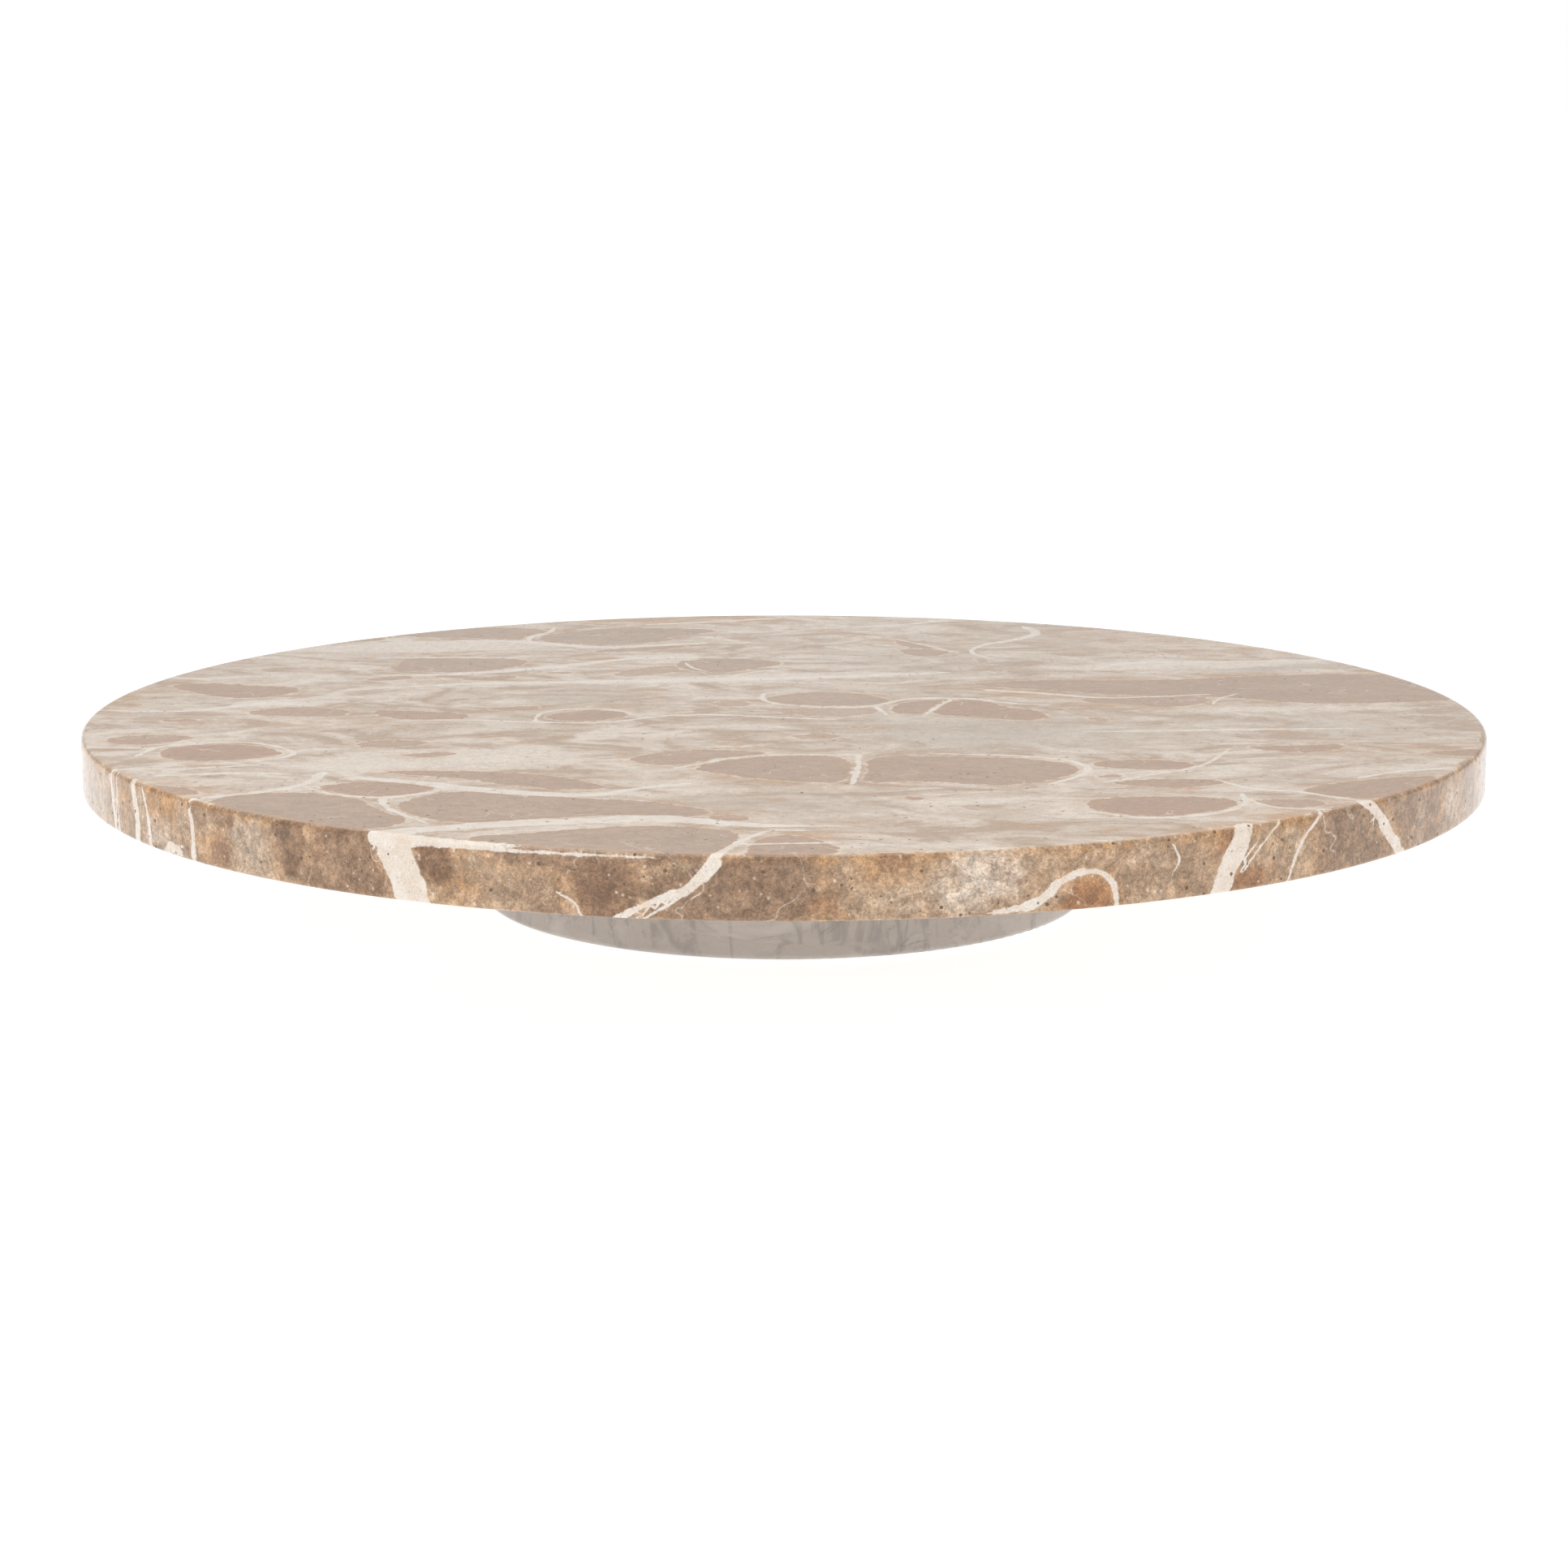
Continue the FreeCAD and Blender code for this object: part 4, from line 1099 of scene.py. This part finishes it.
@dataclass(frozen=True)
class TurnedMetal:
    """Metal with the fine rings that a lathe leaves."""

    name: str
    colour: tuple
    pitch: float = 0.25
    roughness: float = 0.3

    def build(self) -> bpy.types.Material:
        """Makes the material.

        Returns:
            The material.
        """
        bench = Bench(self.name)
        place = bench.stretched((1, 1, 1))
        rings = bench.tree.nodes.new("ShaderNodeTexWave")
        rings.wave_type = "RINGS"
        rings.rings_direction = "Z"
        bench.fill(rings.inputs["Vector"], place)
        rings.inputs["Scale"].default_value = 0.32 / self.pitch
        rings.inputs["Distortion"].default_value = 0.4
        marks = rings.outputs["Fac"]
        dust = bench.noise(place, 3, detail=5, rough=0.7)
        colour = bench.dim(self.colour, bench.ramp(dust, 0.25, 0.75, 0.86, 1.04))
        rough = bench.math("ADD", bench.ramp(dust, 0.3, 0.7, self.roughness - 0.07, self.roughness + 0.1),
                           bench.math("MULTIPLY", marks, 0.05))
        bench.bump(marks, 0.006)
        return bench.finish(Base_Color=colour, Metallic=1.0, Roughness=rough)


@dataclass(frozen=True)
class Moulded:
    """Moulded plastic or rubber with a fine eroded texture and a little dust."""

    name: str
    colour: tuple
    dust: tuple
    roughness: float = 0.6
    grain: float = 0.35

    def build(self) -> bpy.types.Material:
        """Makes the material.

        Returns:
            The material.
        """
        bench = Bench(self.name)
        place = bench.stretched((1, 1, 1))
        grain = bench.noise(place, self.grain, detail=3, rough=0.6)
        cloud = bench.noise(place, 6, detail=5, rough=0.65)
        colour = bench.blend(bench.ramp(cloud, 0.45, 0.75, 0, 0.3), self.colour, self.dust)
        colour = bench.dim(colour, bench.ramp(grain, 0.25, 0.75, 0.9, 1.06))
        bench.bump(grain, 0.03)
        rough = bench.ramp(cloud, 0.3, 0.7, self.roughness - 0.06, self.roughness + 0.08)
        return bench.finish(Base_Color=colour, Roughness=rough)


# ---------------------------------------------------------------------------------------------------------
# Meshes
# ---------------------------------------------------------------------------------------------------------

Radius = Callable[[float], float]
Section = tuple[object, float]  # a radius or a function of the angle, and a height


def to_object(name: str, points: Iterable, faces: Iterable, sharp: float = 35.0) -> bpy.types.Object:
    """Makes a smooth object from points in millimetres.

    Args:
        name: the object's name.
        points: the points, three numbers each.
        faces: the faces, as tuples of point numbers.
        sharp: edges that turn by more than this many degrees stay sharp.

    Returns:
        The object, linked to the scene.
    """
    mesh = bpy.data.meshes.new(name)
    mesh.from_pydata((np.asarray(points, float) * MM).tolist(), [], faces)
    mesh.shade_smooth()
    mesh.set_sharp_from_angle(angle=math.radians(sharp))
    mesh.validate()
    made = bpy.data.objects.new(name, mesh)
    bpy.context.scene.collection.objects.link(made)
    return made


def lathe(name: str, sections: Sequence[Section], segments: int, flipped: bool = False) -> bpy.types.Object:
    """Turns a closed solid about Z.

    Args:
        name: the object's name.
        sections: the outline, anticlockwise with X to the right. A radius of 0 is a point on the axis.
        segments: how many columns it has.
        flipped: whether it is turned upside down about X afterwards.

    Returns:
        The object, at the origin.
    """
    angles = [math.tau * column / segments for column in range(segments)]
    points, rows = [], []
    for radius, height in sections:
        start = len(points)
        if radius == 0:
            points.append((0, 0, height))
            rows.append([start] * segments)
            continue
        reach = radius if callable(radius) else (lambda angle, fixed=radius: fixed)
        points += [(reach(a) * math.cos(a), reach(a) * math.sin(a), height) for a in angles]
        rows.append(list(range(start, start + segments)))
    faces = []
    closed = sections[0][0] != 0
    for lower, upper in zip(rows, rows[1:] + rows[:1] if closed else rows[1:]):
        for column in range(segments):
            beside = (column + 1) % segments
            corners = [lower[column], lower[beside], upper[beside], upper[column]]
            face = tuple(dict.fromkeys(corners))
            if len(face) > 2:
                faces.append(face)
    points = np.array(points)
    if flipped:
        points *= (1, -1, -1)
    return to_object(name, points, faces)


def ring_tree() -> bpy.types.NodeTree:
    """Builds the tree that stands copies of one part evenly on a circle.

    Returns:
        The tree, with inputs for the part, how many, their circle, the first angle, height and material.
    """
    tree = bpy.data.node_groups.new("parts_on_a_circle", "GeometryNodeTree")
    face = tree.interface
    face.new_socket("Geometry", in_out="OUTPUT", socket_type="NodeSocketGeometry")
    for name, kind in (("Part", "Object"), ("Count", "Int"), ("Radius", "Float"), ("First Angle", "Float"),
                       ("Height", "Float"), ("Material", "Material")):
        face.new_socket(name, in_out="INPUT", socket_type="NodeSocket" + kind)
    given = tree.nodes.new("NodeGroupInput").outputs

    def calculate(operation: str, *values: object) -> Socket:
        """A Math node of this tree.

        Args:
            operation: what it does.
            *values: its sockets or constants.

        Returns:
            The result.
        """
        node = tree.nodes.new("ShaderNodeMath")
        node.operation = operation
        for socket, value in zip(node.inputs, values):
            if isinstance(value, bpy.types.NodeSocket):
                tree.links.new(value, socket)
            else:
                socket.default_value = value
        return node.outputs[0]

    index = tree.nodes.new("GeometryNodeInputIndex").outputs[0]
    share = calculate("DIVIDE", index, given["Count"])
    angle = calculate("MULTIPLY_ADD", share, math.tau, given["First Angle"])
    place = tree.nodes.new("ShaderNodeCombineXYZ")
    tree.links.new(calculate("MULTIPLY", calculate("COSINE", angle), given["Radius"]), place.inputs["X"])
    tree.links.new(calculate("MULTIPLY", calculate("SINE", angle), given["Radius"]), place.inputs["Y"])
    tree.links.new(given["Height"], place.inputs["Z"])
    turn = tree.nodes.new("ShaderNodeCombineXYZ")
    tree.links.new(angle, turn.inputs["Z"])
    points = tree.nodes.new("GeometryNodePoints")
    tree.links.new(given["Count"], points.inputs["Count"])
    tree.links.new(place.outputs[0], points.inputs["Position"])
    part = tree.nodes.new("GeometryNodeObjectInfo")
    tree.links.new(given["Part"], part.inputs["Object"])
    copies = tree.nodes.new("GeometryNodeInstanceOnPoints")
    tree.links.new(points.outputs[0], copies.inputs["Points"])
    tree.links.new(part.outputs["Geometry"], copies.inputs["Instance"])
    tree.links.new(turn.outputs[0], copies.inputs["Rotation"])
    real = tree.nodes.new("GeometryNodeRealizeInstances")
    tree.links.new(copies.outputs[0], real.inputs[0])
    finish = tree.nodes.new("GeometryNodeSetMaterial")
    tree.links.new(real.outputs[0], finish.inputs["Geometry"])
    tree.links.new(given["Material"], finish.inputs["Material"])
    tree.links.new(finish.outputs[0], tree.nodes.new("NodeGroupOutput").inputs[0])
    return tree


@dataclass(frozen=True)
class PartCircle:
    """Alike parts of one body that stand evenly on a circle about the axis."""

    name: str
    body: str
    slot: str
    nodes: tuple[str, ...]
    count: int
    radius: float
    first: float
    height: float

    @classmethod
    def through(cls, name: str, body: str, slot: str, stem: str, count: int, top: bool) -> "PartCircle":
        """Reads the circle from numbered nodes.

        Args:
            name: the new piece's name.
            body: the body that it rides on.
            slot: its material slot.
            stem: the nodes' name without its number.
            count: how many there are.
            top: whether a part's origin is at its upper end.

        Returns:
            The circle.
        """
        low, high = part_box(f"{stem}_1")
        middle = (low + high) / 2
        nodes = tuple(f"{stem}_{number}" for number in range(1, count + 1))
        height = high.z if top else low.z
        return cls(name, body, slot, nodes, count, math.hypot(middle.x, middle.y),
                   math.atan2(middle.y, middle.x), height)

    def build(self, tree: bpy.types.NodeTree, part: bpy.types.Object,
              material: bpy.types.Material) -> bpy.types.Object:
        """Stands the copies on the circle as one plain mesh.

        Args:
            tree: the tree from ring_tree.
            part: the part to copy, which is removed afterwards.
            material: its finish.

        Returns:
            The piece, riding on its body.
        """
        piece = bpy.data.objects.new(self.name, bpy.data.meshes.new(self.name + "_empty"))
        bpy.context.scene.collection.objects.link(piece)
        modifier = piece.modifiers.new("circle", "NODES")
        modifier.node_group = tree
        values = {"Part": part, "Count": self.count, "Radius": self.radius, "First Angle": self.first,
                  "Height": self.height, "Material": material}
        for item in tree.interface.items_tree:
            if item.in_out == "INPUT":
                modifier[item.identifier] = values[item.name]
        graph = bpy.context.evaluated_depsgraph_get()
        mesh = bpy.data.meshes.new_from_object(piece.evaluated_get(graph))
        piece.modifiers.remove(modifier)
        piece.data = mesh
        mesh.name = self.name
        bpy.data.objects.remove(part)
        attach(piece, self.body)
        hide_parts(*self.nodes)
        log.info("%s: %d on a circle of %.1f mm, %d faces", self.name, self.count, self.radius / MM,
                 len(mesh.polygons))
        return piece


# ---------------------------------------------------------------------------------------------------------
# The turntable's pieces
# ---------------------------------------------------------------------------------------------------------


@dataclass
class BrecciaPlate:
    """The plate that turns: a fine mesh that carries the stone's pattern at its points."""

    radius: float
    bottom: float
    top: float
    hole_circle: float
    top_ease: float = 1.5
    bottom_ease: float = 1.0
    columns: int = 960
    hole_radius: float = 4.0
    hole_depth: float = 9.2
    hole_columns: int = 32
    spacing: Point = (1.15, 1.66)
    under_spacing: Point = (4.6, 4.6)
    points: list[list[float]] = field(default_factory=list)
    faces: list[tuple[int, ...]] = field(default_factory=list)

    def ring(self, radius: float, height: float, columns: int, centre: Point = (0, 0)) -> list[int]:
        """Adds a ring of points.

        Args:
            radius: the ring's radius.
            height: its height.
            columns: how many points it has.
            centre: where its centre is.

        Returns:
            The points' numbers.
        """
        turn = np.arange(columns) * math.tau / columns
        start = len(self.points)
        across = centre[0] + radius * np.cos(turn)
        away = centre[1] + radius * np.sin(turn)
        self.points += np.column_stack([across, away, np.full(columns, height)]).tolist()
        return list(range(start, start + columns))

    def band(self, outer: list[int], inner: list[int]) -> None:
        """Joins two rings of as many points with faces.

        Args:
            outer: the numbers of the outer ring's points.
            inner: those of the inner ring's.
        """
        for column in range(len(outer)):
            beside = (column + 1) % len(outer)
            self.faces.append((outer[column], outer[beside], inner[beside], inner[column]))

    def flat(self, border: list[int], height: float, spacing: Point, holes: list[list[int]],
             upward: bool) -> None:
        """Fills a flat face with fine triangles.

        Args:
            border: the points round it.
            height: its height.
            spacing: the distance between its points along X and Y.
            holes: the points round each hole in it.
            upward: whether it faces up.
        """
        limit = math.hypot(*self.points[border[0]][:2]) - 0.6 * max(spacing)
        rows = np.arange(-limit, limit, spacing[1])
        runs = [np.arange(-limit + (row % 2) * spacing[0] / 2, limit, spacing[0]) for row in range(len(rows))]
        grid = np.array([(x, y) for y, run in zip(rows, runs) for x in run])
        grid = grid[np.hypot(grid[:, 0], grid[:, 1]) < limit]
        fixed = list(border)
        edges = [(at, (at + 1) % len(border)) for at in range(len(border))]
        for hole in holes:
            start = len(fixed)
            fixed += hole
            edges += [(start + at, start + (at + 1) % len(hole)) for at in range(len(hole))]
            centre = np.mean([self.points[number][:2] for number in hole], axis=0)
            away = np.hypot(*(grid - centre).T)
            grid = grid[away > self.hole_radius + 1.5]
        start = len(self.points)
        self.points += np.column_stack([grid, np.full(len(grid), height)]).tolist()
        numbers = fixed + list(range(start, start + len(grid)))
        places = [Vector(self.points[number][:2]) for number in numbers]
        found = delaunay_2d_cdt(places, edges, [], 0, 1e-6)
        origin = [numbers[sources[0]] for sources in found[3]]
        middles = [np.mean([self.points[number][:2] for number in hole], axis=0) for hole in holes]
        for triangle in found[2]:
            corners = [origin[number] for number in triangle]
            centre = np.mean([self.points[number][:2] for number in corners], axis=0)
            if any(np.hypot(*(centre - middle)) < self.hole_radius - 0.2 for middle in middles):
                continue
            self.faces.append(tuple(corners if upward else corners[::-1]))

    def build(self, finish: bpy.types.Material) -> bpy.types.Object:
        """Makes the plate, writes its pattern and dresses it.

        Args:
            finish: the stone.

        Returns:
            The plate, riding on the turntable.
        """
        levels = []
        for step in range(5):
            turn = math.pi / 2 * step / 4
            levels.append((self.radius - self.top_ease * (1 - math.sin(turn)),
                           self.top - self.top_ease * (1 - math.cos(turn))))
        wall = np.linspace(self.top - self.top_ease, self.bottom + self.bottom_ease, 11)[1:]
        levels += [(self.radius, height) for height in wall]
        for step in range(1, 4):
            turn = math.pi / 2 * step / 3
            levels.append((self.radius - self.bottom_ease * (1 - math.cos(turn)),
                           self.bottom + self.bottom_ease * (1 - math.sin(turn))))
        rings = [self.ring(radius, height, self.columns) for radius, height in levels]
        for upper, lower in zip(rings, rings[1:]):
            self.band(lower, upper)
        self.flat(rings[0], self.top, self.spacing, [], upward=True)
        mouths = []
        for quarter in range(4):
            turn = math.pi / 2 * quarter
            centre = (self.hole_circle * math.cos(turn), self.hole_circle * math.sin(turn))
            mouth = self.ring(self.hole_radius, self.bottom, self.hole_columns, centre)
            roof = self.ring(self.hole_radius, self.bottom + self.hole_depth, self.hole_columns, centre)
            self.band(roof, mouth)
            self.faces.append(tuple(roof[::-1]))
            mouths.append(mouth)
        self.flat(rings[-1], self.bottom, self.under_spacing, mouths, upward=False)
        plate = to_object("breccia_plate", self.points, self.faces)
        self.write_pattern(plate.data)
        plate.data.materials.append(finish)
        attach(plate, "turntable")
        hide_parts("top_plate")
        log.info("%s: %d points, %d faces", plate.name, len(self.points), len(self.faces))
        return plate

    def write_pattern(self, mesh: bpy.types.Mesh) -> None:
        """Writes the stone's pattern to the mesh's points.

        Args:
            mesh: the plate's mesh.
        """
        places = np.empty(len(mesh.vertices) * 3)
        mesh.vertices.foreach_get("co", places)
        block = BrecciaBlock(self.radius, self.top, self.top - self.bottom)
        pattern = block.measure(places.reshape(-1, 3) / MM)
        for name, values in (("clast", pattern.clast), ("vein", pattern.vein), ("ground", pattern.ground)):
            layer = mesh.attributes.new(name, "FLOAT_VECTOR", "POINT")
            layer.data.foreach_set("vector", values.ravel())
        layer = mesh.attributes.new("cut", "FLOAT", "POINT")
        layer.data.foreach_set("value", pattern.cut)


@dataclass
class Bearing:
    """The ring bearing with its balls, screws and inserts."""

    ball_radius: float = 2.5
    ball_count: int = 32
    head: float = 4.0
    shank: float = 2.0
    length: float = 14.0
    pitch: float = 0.7
    thread: float = 0.22
    socket: float = 2.5
    socket_depth: float = 1.5
    insert: float = 3.8
    insert_length: float = 9.0
    bore: float = 2.1
    knurls: int = 16
    knurl_depth: float = 0.35

    def ball(self) -> bpy.types.Object:
        """A ball about the origin.

        Returns:
            The ball.
        """
        steps = 16
        outline = [(self.ball_radius * math.sin(math.pi * row / steps) if 0 < row < steps else 0,
                    -self.ball_radius * math.cos(math.pi * row / steps)) for row in range(steps + 1)]
        return lathe("ball", outline, 32)

    def hexagon(self, angle: float) -> float:
        """How far the key's socket reaches at an angle."""
        turn = (angle + math.pi / 6) % (math.pi / 3) - math.pi / 6
        return self.socket / 2 / math.cos(math.pi / 6 - abs(turn))

    def screw(self, flipped: bool) -> bpy.types.Object:
        """A countersunk socket screw with a real thread, its head's face at the origin.

        Args:
            flipped: whether its tip points up.

        Returns:
            The screw.
        """
        outline = [(0, -self.length), (self.shank - 0.5, -self.length)]
        rows = int((self.length - 3.2) / self.pitch * 5)
        for row in range(rows):
            height = -self.length + 0.45 + row * self.pitch / 5
            fade = min(1.0, row / 4, (rows - row) / 6)

            def ridge(angle: float, height: float = height, fade: float = fade) -> float:
                """The thread's radius at an angle."""
                wave = 0.5 + 0.5 * math.cos(math.tau * height / self.pitch - angle)
                return self.shank - self.thread * fade * (1 - wave)

            outline.append((ridge, height))
        rim = self.head - 0.1
        outline += [(self.shank, -2.05), (self.head - 0.04, -0.1), (rim, 0), (1.75, 0)]
        outline += [(self.hexagon, -0.12), (self.hexagon, -self.socket_depth), (0, -self.socket_depth - 0.25)]
        return lathe("screw", outline, 24, flipped)

    def knurled(self, angle: float) -> float:
        """The insert's radius at an angle, with a notch at each knurl."""
        turn = abs((angle * self.knurls / math.tau + 0.5) % 1 - 0.5)
        return self.insert - self.knurl_depth * max(0.0, 1 - turn * 4)

    def brass(self, flipped: bool) -> bpy.types.Object:
        """A knurled insert, its mouth at the origin.

        Args:
            flipped: whether its body points up.

        Returns:
            The insert.
        """
        middle = -self.insert_length / 2
        waist = self.insert - 0.5
        outline = [(self.bore, -self.insert_length), (self.insert - 0.4, -self.insert_length),
                   (self.knurled, -self.insert_length + 0.3), (self.knurled, middle - 0.5),
                   (waist, middle - 0.5), (waist, middle + 0.5), (self.knurled, middle + 0.5),
                   (self.knurled, -0.8), (self.insert, -0.8), (self.insert, -0.15),
                   (self.insert - 0.15, 0), (self.bore + 0.25, 0), (self.bore, -0.25)]
        return lathe("insert", outline, self.knurls * 4, flipped)

    def build(self, tree: bpy.types.NodeTree, finishes: dict[str, bpy.types.Material]) -> None:
        """Makes the balls, screws and inserts.

        Args:
            tree: the tree that stands parts on a circle.
            finishes: the materials by slot.
        """
        low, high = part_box("bearing_balls")
        radius = (high.x - low.x) / 2 - self.ball_radius * MM
        balls = PartCircle("bearing_ball_ring", "ball_set", "ball_steel", ("bearing_balls",),
                           self.ball_count, radius, 0.0, (low.z + high.z) / 2)
        balls.build(tree, self.ball(), finishes[balls.slot])
        for body, stem, flipped in (("turntable", "plate", True), ("base", "base", False)):
            screws = PartCircle.through(f"{stem}_screws", body, "screw_steel", f"{stem}_screw", 4,
                                        not flipped)
            screws.build(tree, self.screw(flipped), finishes[screws.slot])
            inserts = PartCircle.through(f"{stem}_inserts", body, "insert_brass", f"{stem}_insert", 4,
                                         not flipped)
            inserts.build(tree, self.brass(flipped), finishes[inserts.slot])


@dataclass
class RubberFeet:
    """The feet under the base, with moulded rings in their treads."""

    radius: float = 7.0
    height: float = 2.5
    ease: float = 0.5
    groove: float = 0.35

    def foot(self) -> bpy.types.Object:
        """One foot, standing on the origin.

        Returns:
            The foot.
        """
        outline = [(0, self.groove), (0.9, self.groove)]
        for radius in (1.3, 3.1, 4.9):
            outline += [(radius - 0.1, self.groove), (radius, 0.05), (radius + 0.15, 0)]
            outline += [(radius + 0.75, 0), (radius + 0.9, 0.05), (radius + 1.0, self.groove)]
        rim = self.radius - self.ease
        outline += [(rim - 0.35, self.groove), (rim - 0.25, 0.04)]
        for step in range(5):
            turn = math.pi / 2 * step / 4
            outline.append((rim + self.ease * math.sin(turn), self.ease * (1 - math.cos(turn))))
        outline += [(self.radius, self.height - 0.15), (self.radius - 0.15, self.height), (0, self.height)]
        return lathe("foot", outline, 64)

    def build(self, tree: bpy.types.NodeTree, finish: bpy.types.Material) -> None:
        """Stands the feet under the base.

        Args:
            tree: the tree that stands parts on a circle.
            finish: the rubber.
        """
        circle = PartCircle.through("rubber_feet", "base", "foot_rubber", "rubber_foot", 4, False)
        circle.build(tree, self.foot(), finish)


def dress(node: str, material: bpy.types.Material) -> None:
    """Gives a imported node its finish.

    Args:
        node: the node's name.
        material: the finish.
    """
    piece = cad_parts[node]
    piece.data.materials.clear()
    piece.data.materials.append(material)
    log.info("%s: dressed in %s", node, material.name)


# ---------------------------------------------------------------------------------------------------------
# The studio
# ---------------------------------------------------------------------------------------------------------


@dataclass(frozen=True)
class Studio:
    """A pale floor, a white sky with a grey band above the horizon, one soft lamp and the camera."""

    radius: float
    top: float
    distance: float = 4.884
    elevation: float = 9.63
    pitch: float = 10.878
    lens: float = 77.25
    sky: float = 0.95
    haze: float = 0.5
    key: float = 10.0

    def floor(self) -> None:
        """Lays the floor, which is clear from below so that the underside shows."""
        bench = Bench("studio_floor")
        dust = bench.noise(bench.stretched((1, 1, 1)), 120, detail=4)
        colour = bench.dim(shade(165, 165, 165), bench.ramp(dust, 0.2, 0.8, 0.99, 1.01))
        finish = bench.finish(Base_Color=colour, Roughness=0.9, Specular_IOR_Level=0.0,
                              Emission_Color=(1, 1, 1, 1), Emission_Strength=0.85)
        bright = bench.tree.nodes.new("ShaderNodeMixShader")
        side = bench.tree.nodes.new("ShaderNodeNewGeometry")
        bench.fill(bright.inputs[0], side.outputs["Backfacing"])
        bench.fill(bright.inputs[1], bench.surface.outputs[0])
        bench.fill(bright.inputs[2], bench.tree.nodes.new("ShaderNodeBsdfTransparent").outputs[0])
        bench.fill(bench.tree.nodes["Material Output"].inputs["Surface"], bright.outputs[0])
        reach = 40 / MM
        corners = [(-reach, -reach, -0.1), (reach, -reach, -0.1), (reach, reach, -0.1), (-reach, reach, -0.1)]
        piece = to_object("studio_floor", corners, [(0, 1, 2, 3)])
        piece.data.materials.append(finish)

    def lights(self) -> None:
        """Lights the sky and hangs a soft lamp."""
        world = bpy.data.worlds.new("studio_sky")
        world.use_nodes = True
        tree = world.node_tree
        parts = tree.nodes.new("ShaderNodeSeparateXYZ")
        tree.links.new(tree.nodes.new("ShaderNodeTexCoord").outputs["Generated"], parts.inputs[0])
        fall = tree.nodes.new("ShaderNodeMapRange")
        fall.interpolation_type = "SMOOTHSTEP"
        tree.links.new(parts.outputs["Z"], fall.inputs["Value"])
        for name, value in (("From Min", 0.045), ("From Max", 0.09), ("To Min", 1.0), ("To Max", self.haze)):
            fall.inputs[name].default_value = value
        rise = tree.nodes.new("ShaderNodeMapRange")
        rise.interpolation_type = "SMOOTHSTEP"
        tree.links.new(parts.outputs["Z"], rise.inputs["Value"])
        tree.links.new(fall.outputs[0], rise.inputs["To Min"])
        for name, value in (("From Min", 0.2), ("From Max", 0.6), ("To Max", self.sky)):
            rise.inputs[name].default_value = value
        tree.nodes["Background"].inputs["Color"].default_value = (1, 1, 1, 1)
        tree.links.new(rise.outputs[0], tree.nodes["Background"].inputs["Strength"])
        bpy.context.scene.world = world
        lamp = bpy.data.lights.new("soft_lamp", "AREA")
        lamp.shape = "DISK"
        lamp.size = 1.6
        lamp.energy = self.key
        piece = bpy.data.objects.new("soft_lamp", lamp)
        piece.location = (-0.4, -0.45, 1.75)
        piece.rotation_euler = (-piece.location).to_track_quat("-Z", "Y").to_euler()
        bpy.context.scene.collection.objects.link(piece)

    def camera(self) -> None:
        """Sets up the camera."""
        data = bpy.data.cameras.new("camera")
        data.lens = self.lens
        data.sensor_width = 36
        data.clip_end = 100
        piece = bpy.data.objects.new("camera", data)
        rise = math.radians(self.elevation)
        away = self.distance * self.radius
        piece.location = (0, -away * math.cos(rise), self.top + away * math.sin(rise))
        piece.rotation_euler = (math.radians(90 - self.pitch), 0, 0)
        bpy.context.scene.collection.objects.link(piece)
        bpy.context.scene.camera = piece

    def build(self) -> None:
        """Sets up the whole studio."""
        self.floor()
        self.lights()
        self.camera()
        bpy.context.scene.view_settings.view_transform = "Standard"


def main() -> None:
    """Builds and dresses every piece in turn."""
    logging.basicConfig(level=logging.INFO, format="%(name)s: %(message)s")
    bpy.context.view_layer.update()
    finishes = {
        "brown_marble": BrownBreccia().build(),
        "white_marble": WhiteMarble().build(),
        "ring_aluminium": TurnedMetal("turned_aluminium", shade(228, 229, 231)).build(),
        "plug_aluminium": TurnedMetal("turned_plug", shade(214, 216, 219), 0.15, 0.34).build(),
        "ball_steel": TurnedMetal("polished_steel", shade(226, 229, 233), 0.4, 0.14).build(),
        "cage_plastic": Moulded("cage_nylon", shade(233, 230, 220), shade(214, 208, 194), 0.45).build(),
        "cover_plastic": Moulded("cover_plastic", shade(229, 226, 221), shade(208, 202, 193), 0.5).build(),
        "screw_steel": TurnedMetal("satin_stainless", shade(205, 207, 210), 0.1, 0.28).build(),
        "insert_brass": TurnedMetal("turned_brass", shade(222, 193, 124), 0.12, 0.26).build(),
        "foot_rubber": Moulded("matt_rubber", shade(44, 44, 45), shade(92, 90, 87), 0.75, 0.25).build(),
    }
    low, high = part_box("top_plate")
    hole_low, hole_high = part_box("plate_insert_1")
    plate = BrecciaPlate((high.x - low.x) / 2 / MM, low.z / MM, high.z / MM,
                         (hole_low.x + hole_high.x) / 2 / MM)
    plate.build(finishes["brown_marble"])
    tree = ring_tree()
    Bearing().build(tree, finishes)
    RubberFeet().build(tree, finishes["foot_rubber"])
    for node, slot in (("base", "white_marble"), ("bearing_outer_ring", "ring_aluminium"),
                       ("bearing_inner_ring", "ring_aluminium"), ("ball_cage", "cage_plastic"),
                       ("ball_fill_plug", "plug_aluminium"), ("access_hole_cover", "cover_plastic")):
        dress(node, finishes[slot])
    Studio((high.x - low.x) / 2, high.z).build()
    log.info("every piece is built")


if __name__ == "__main__":
    main()
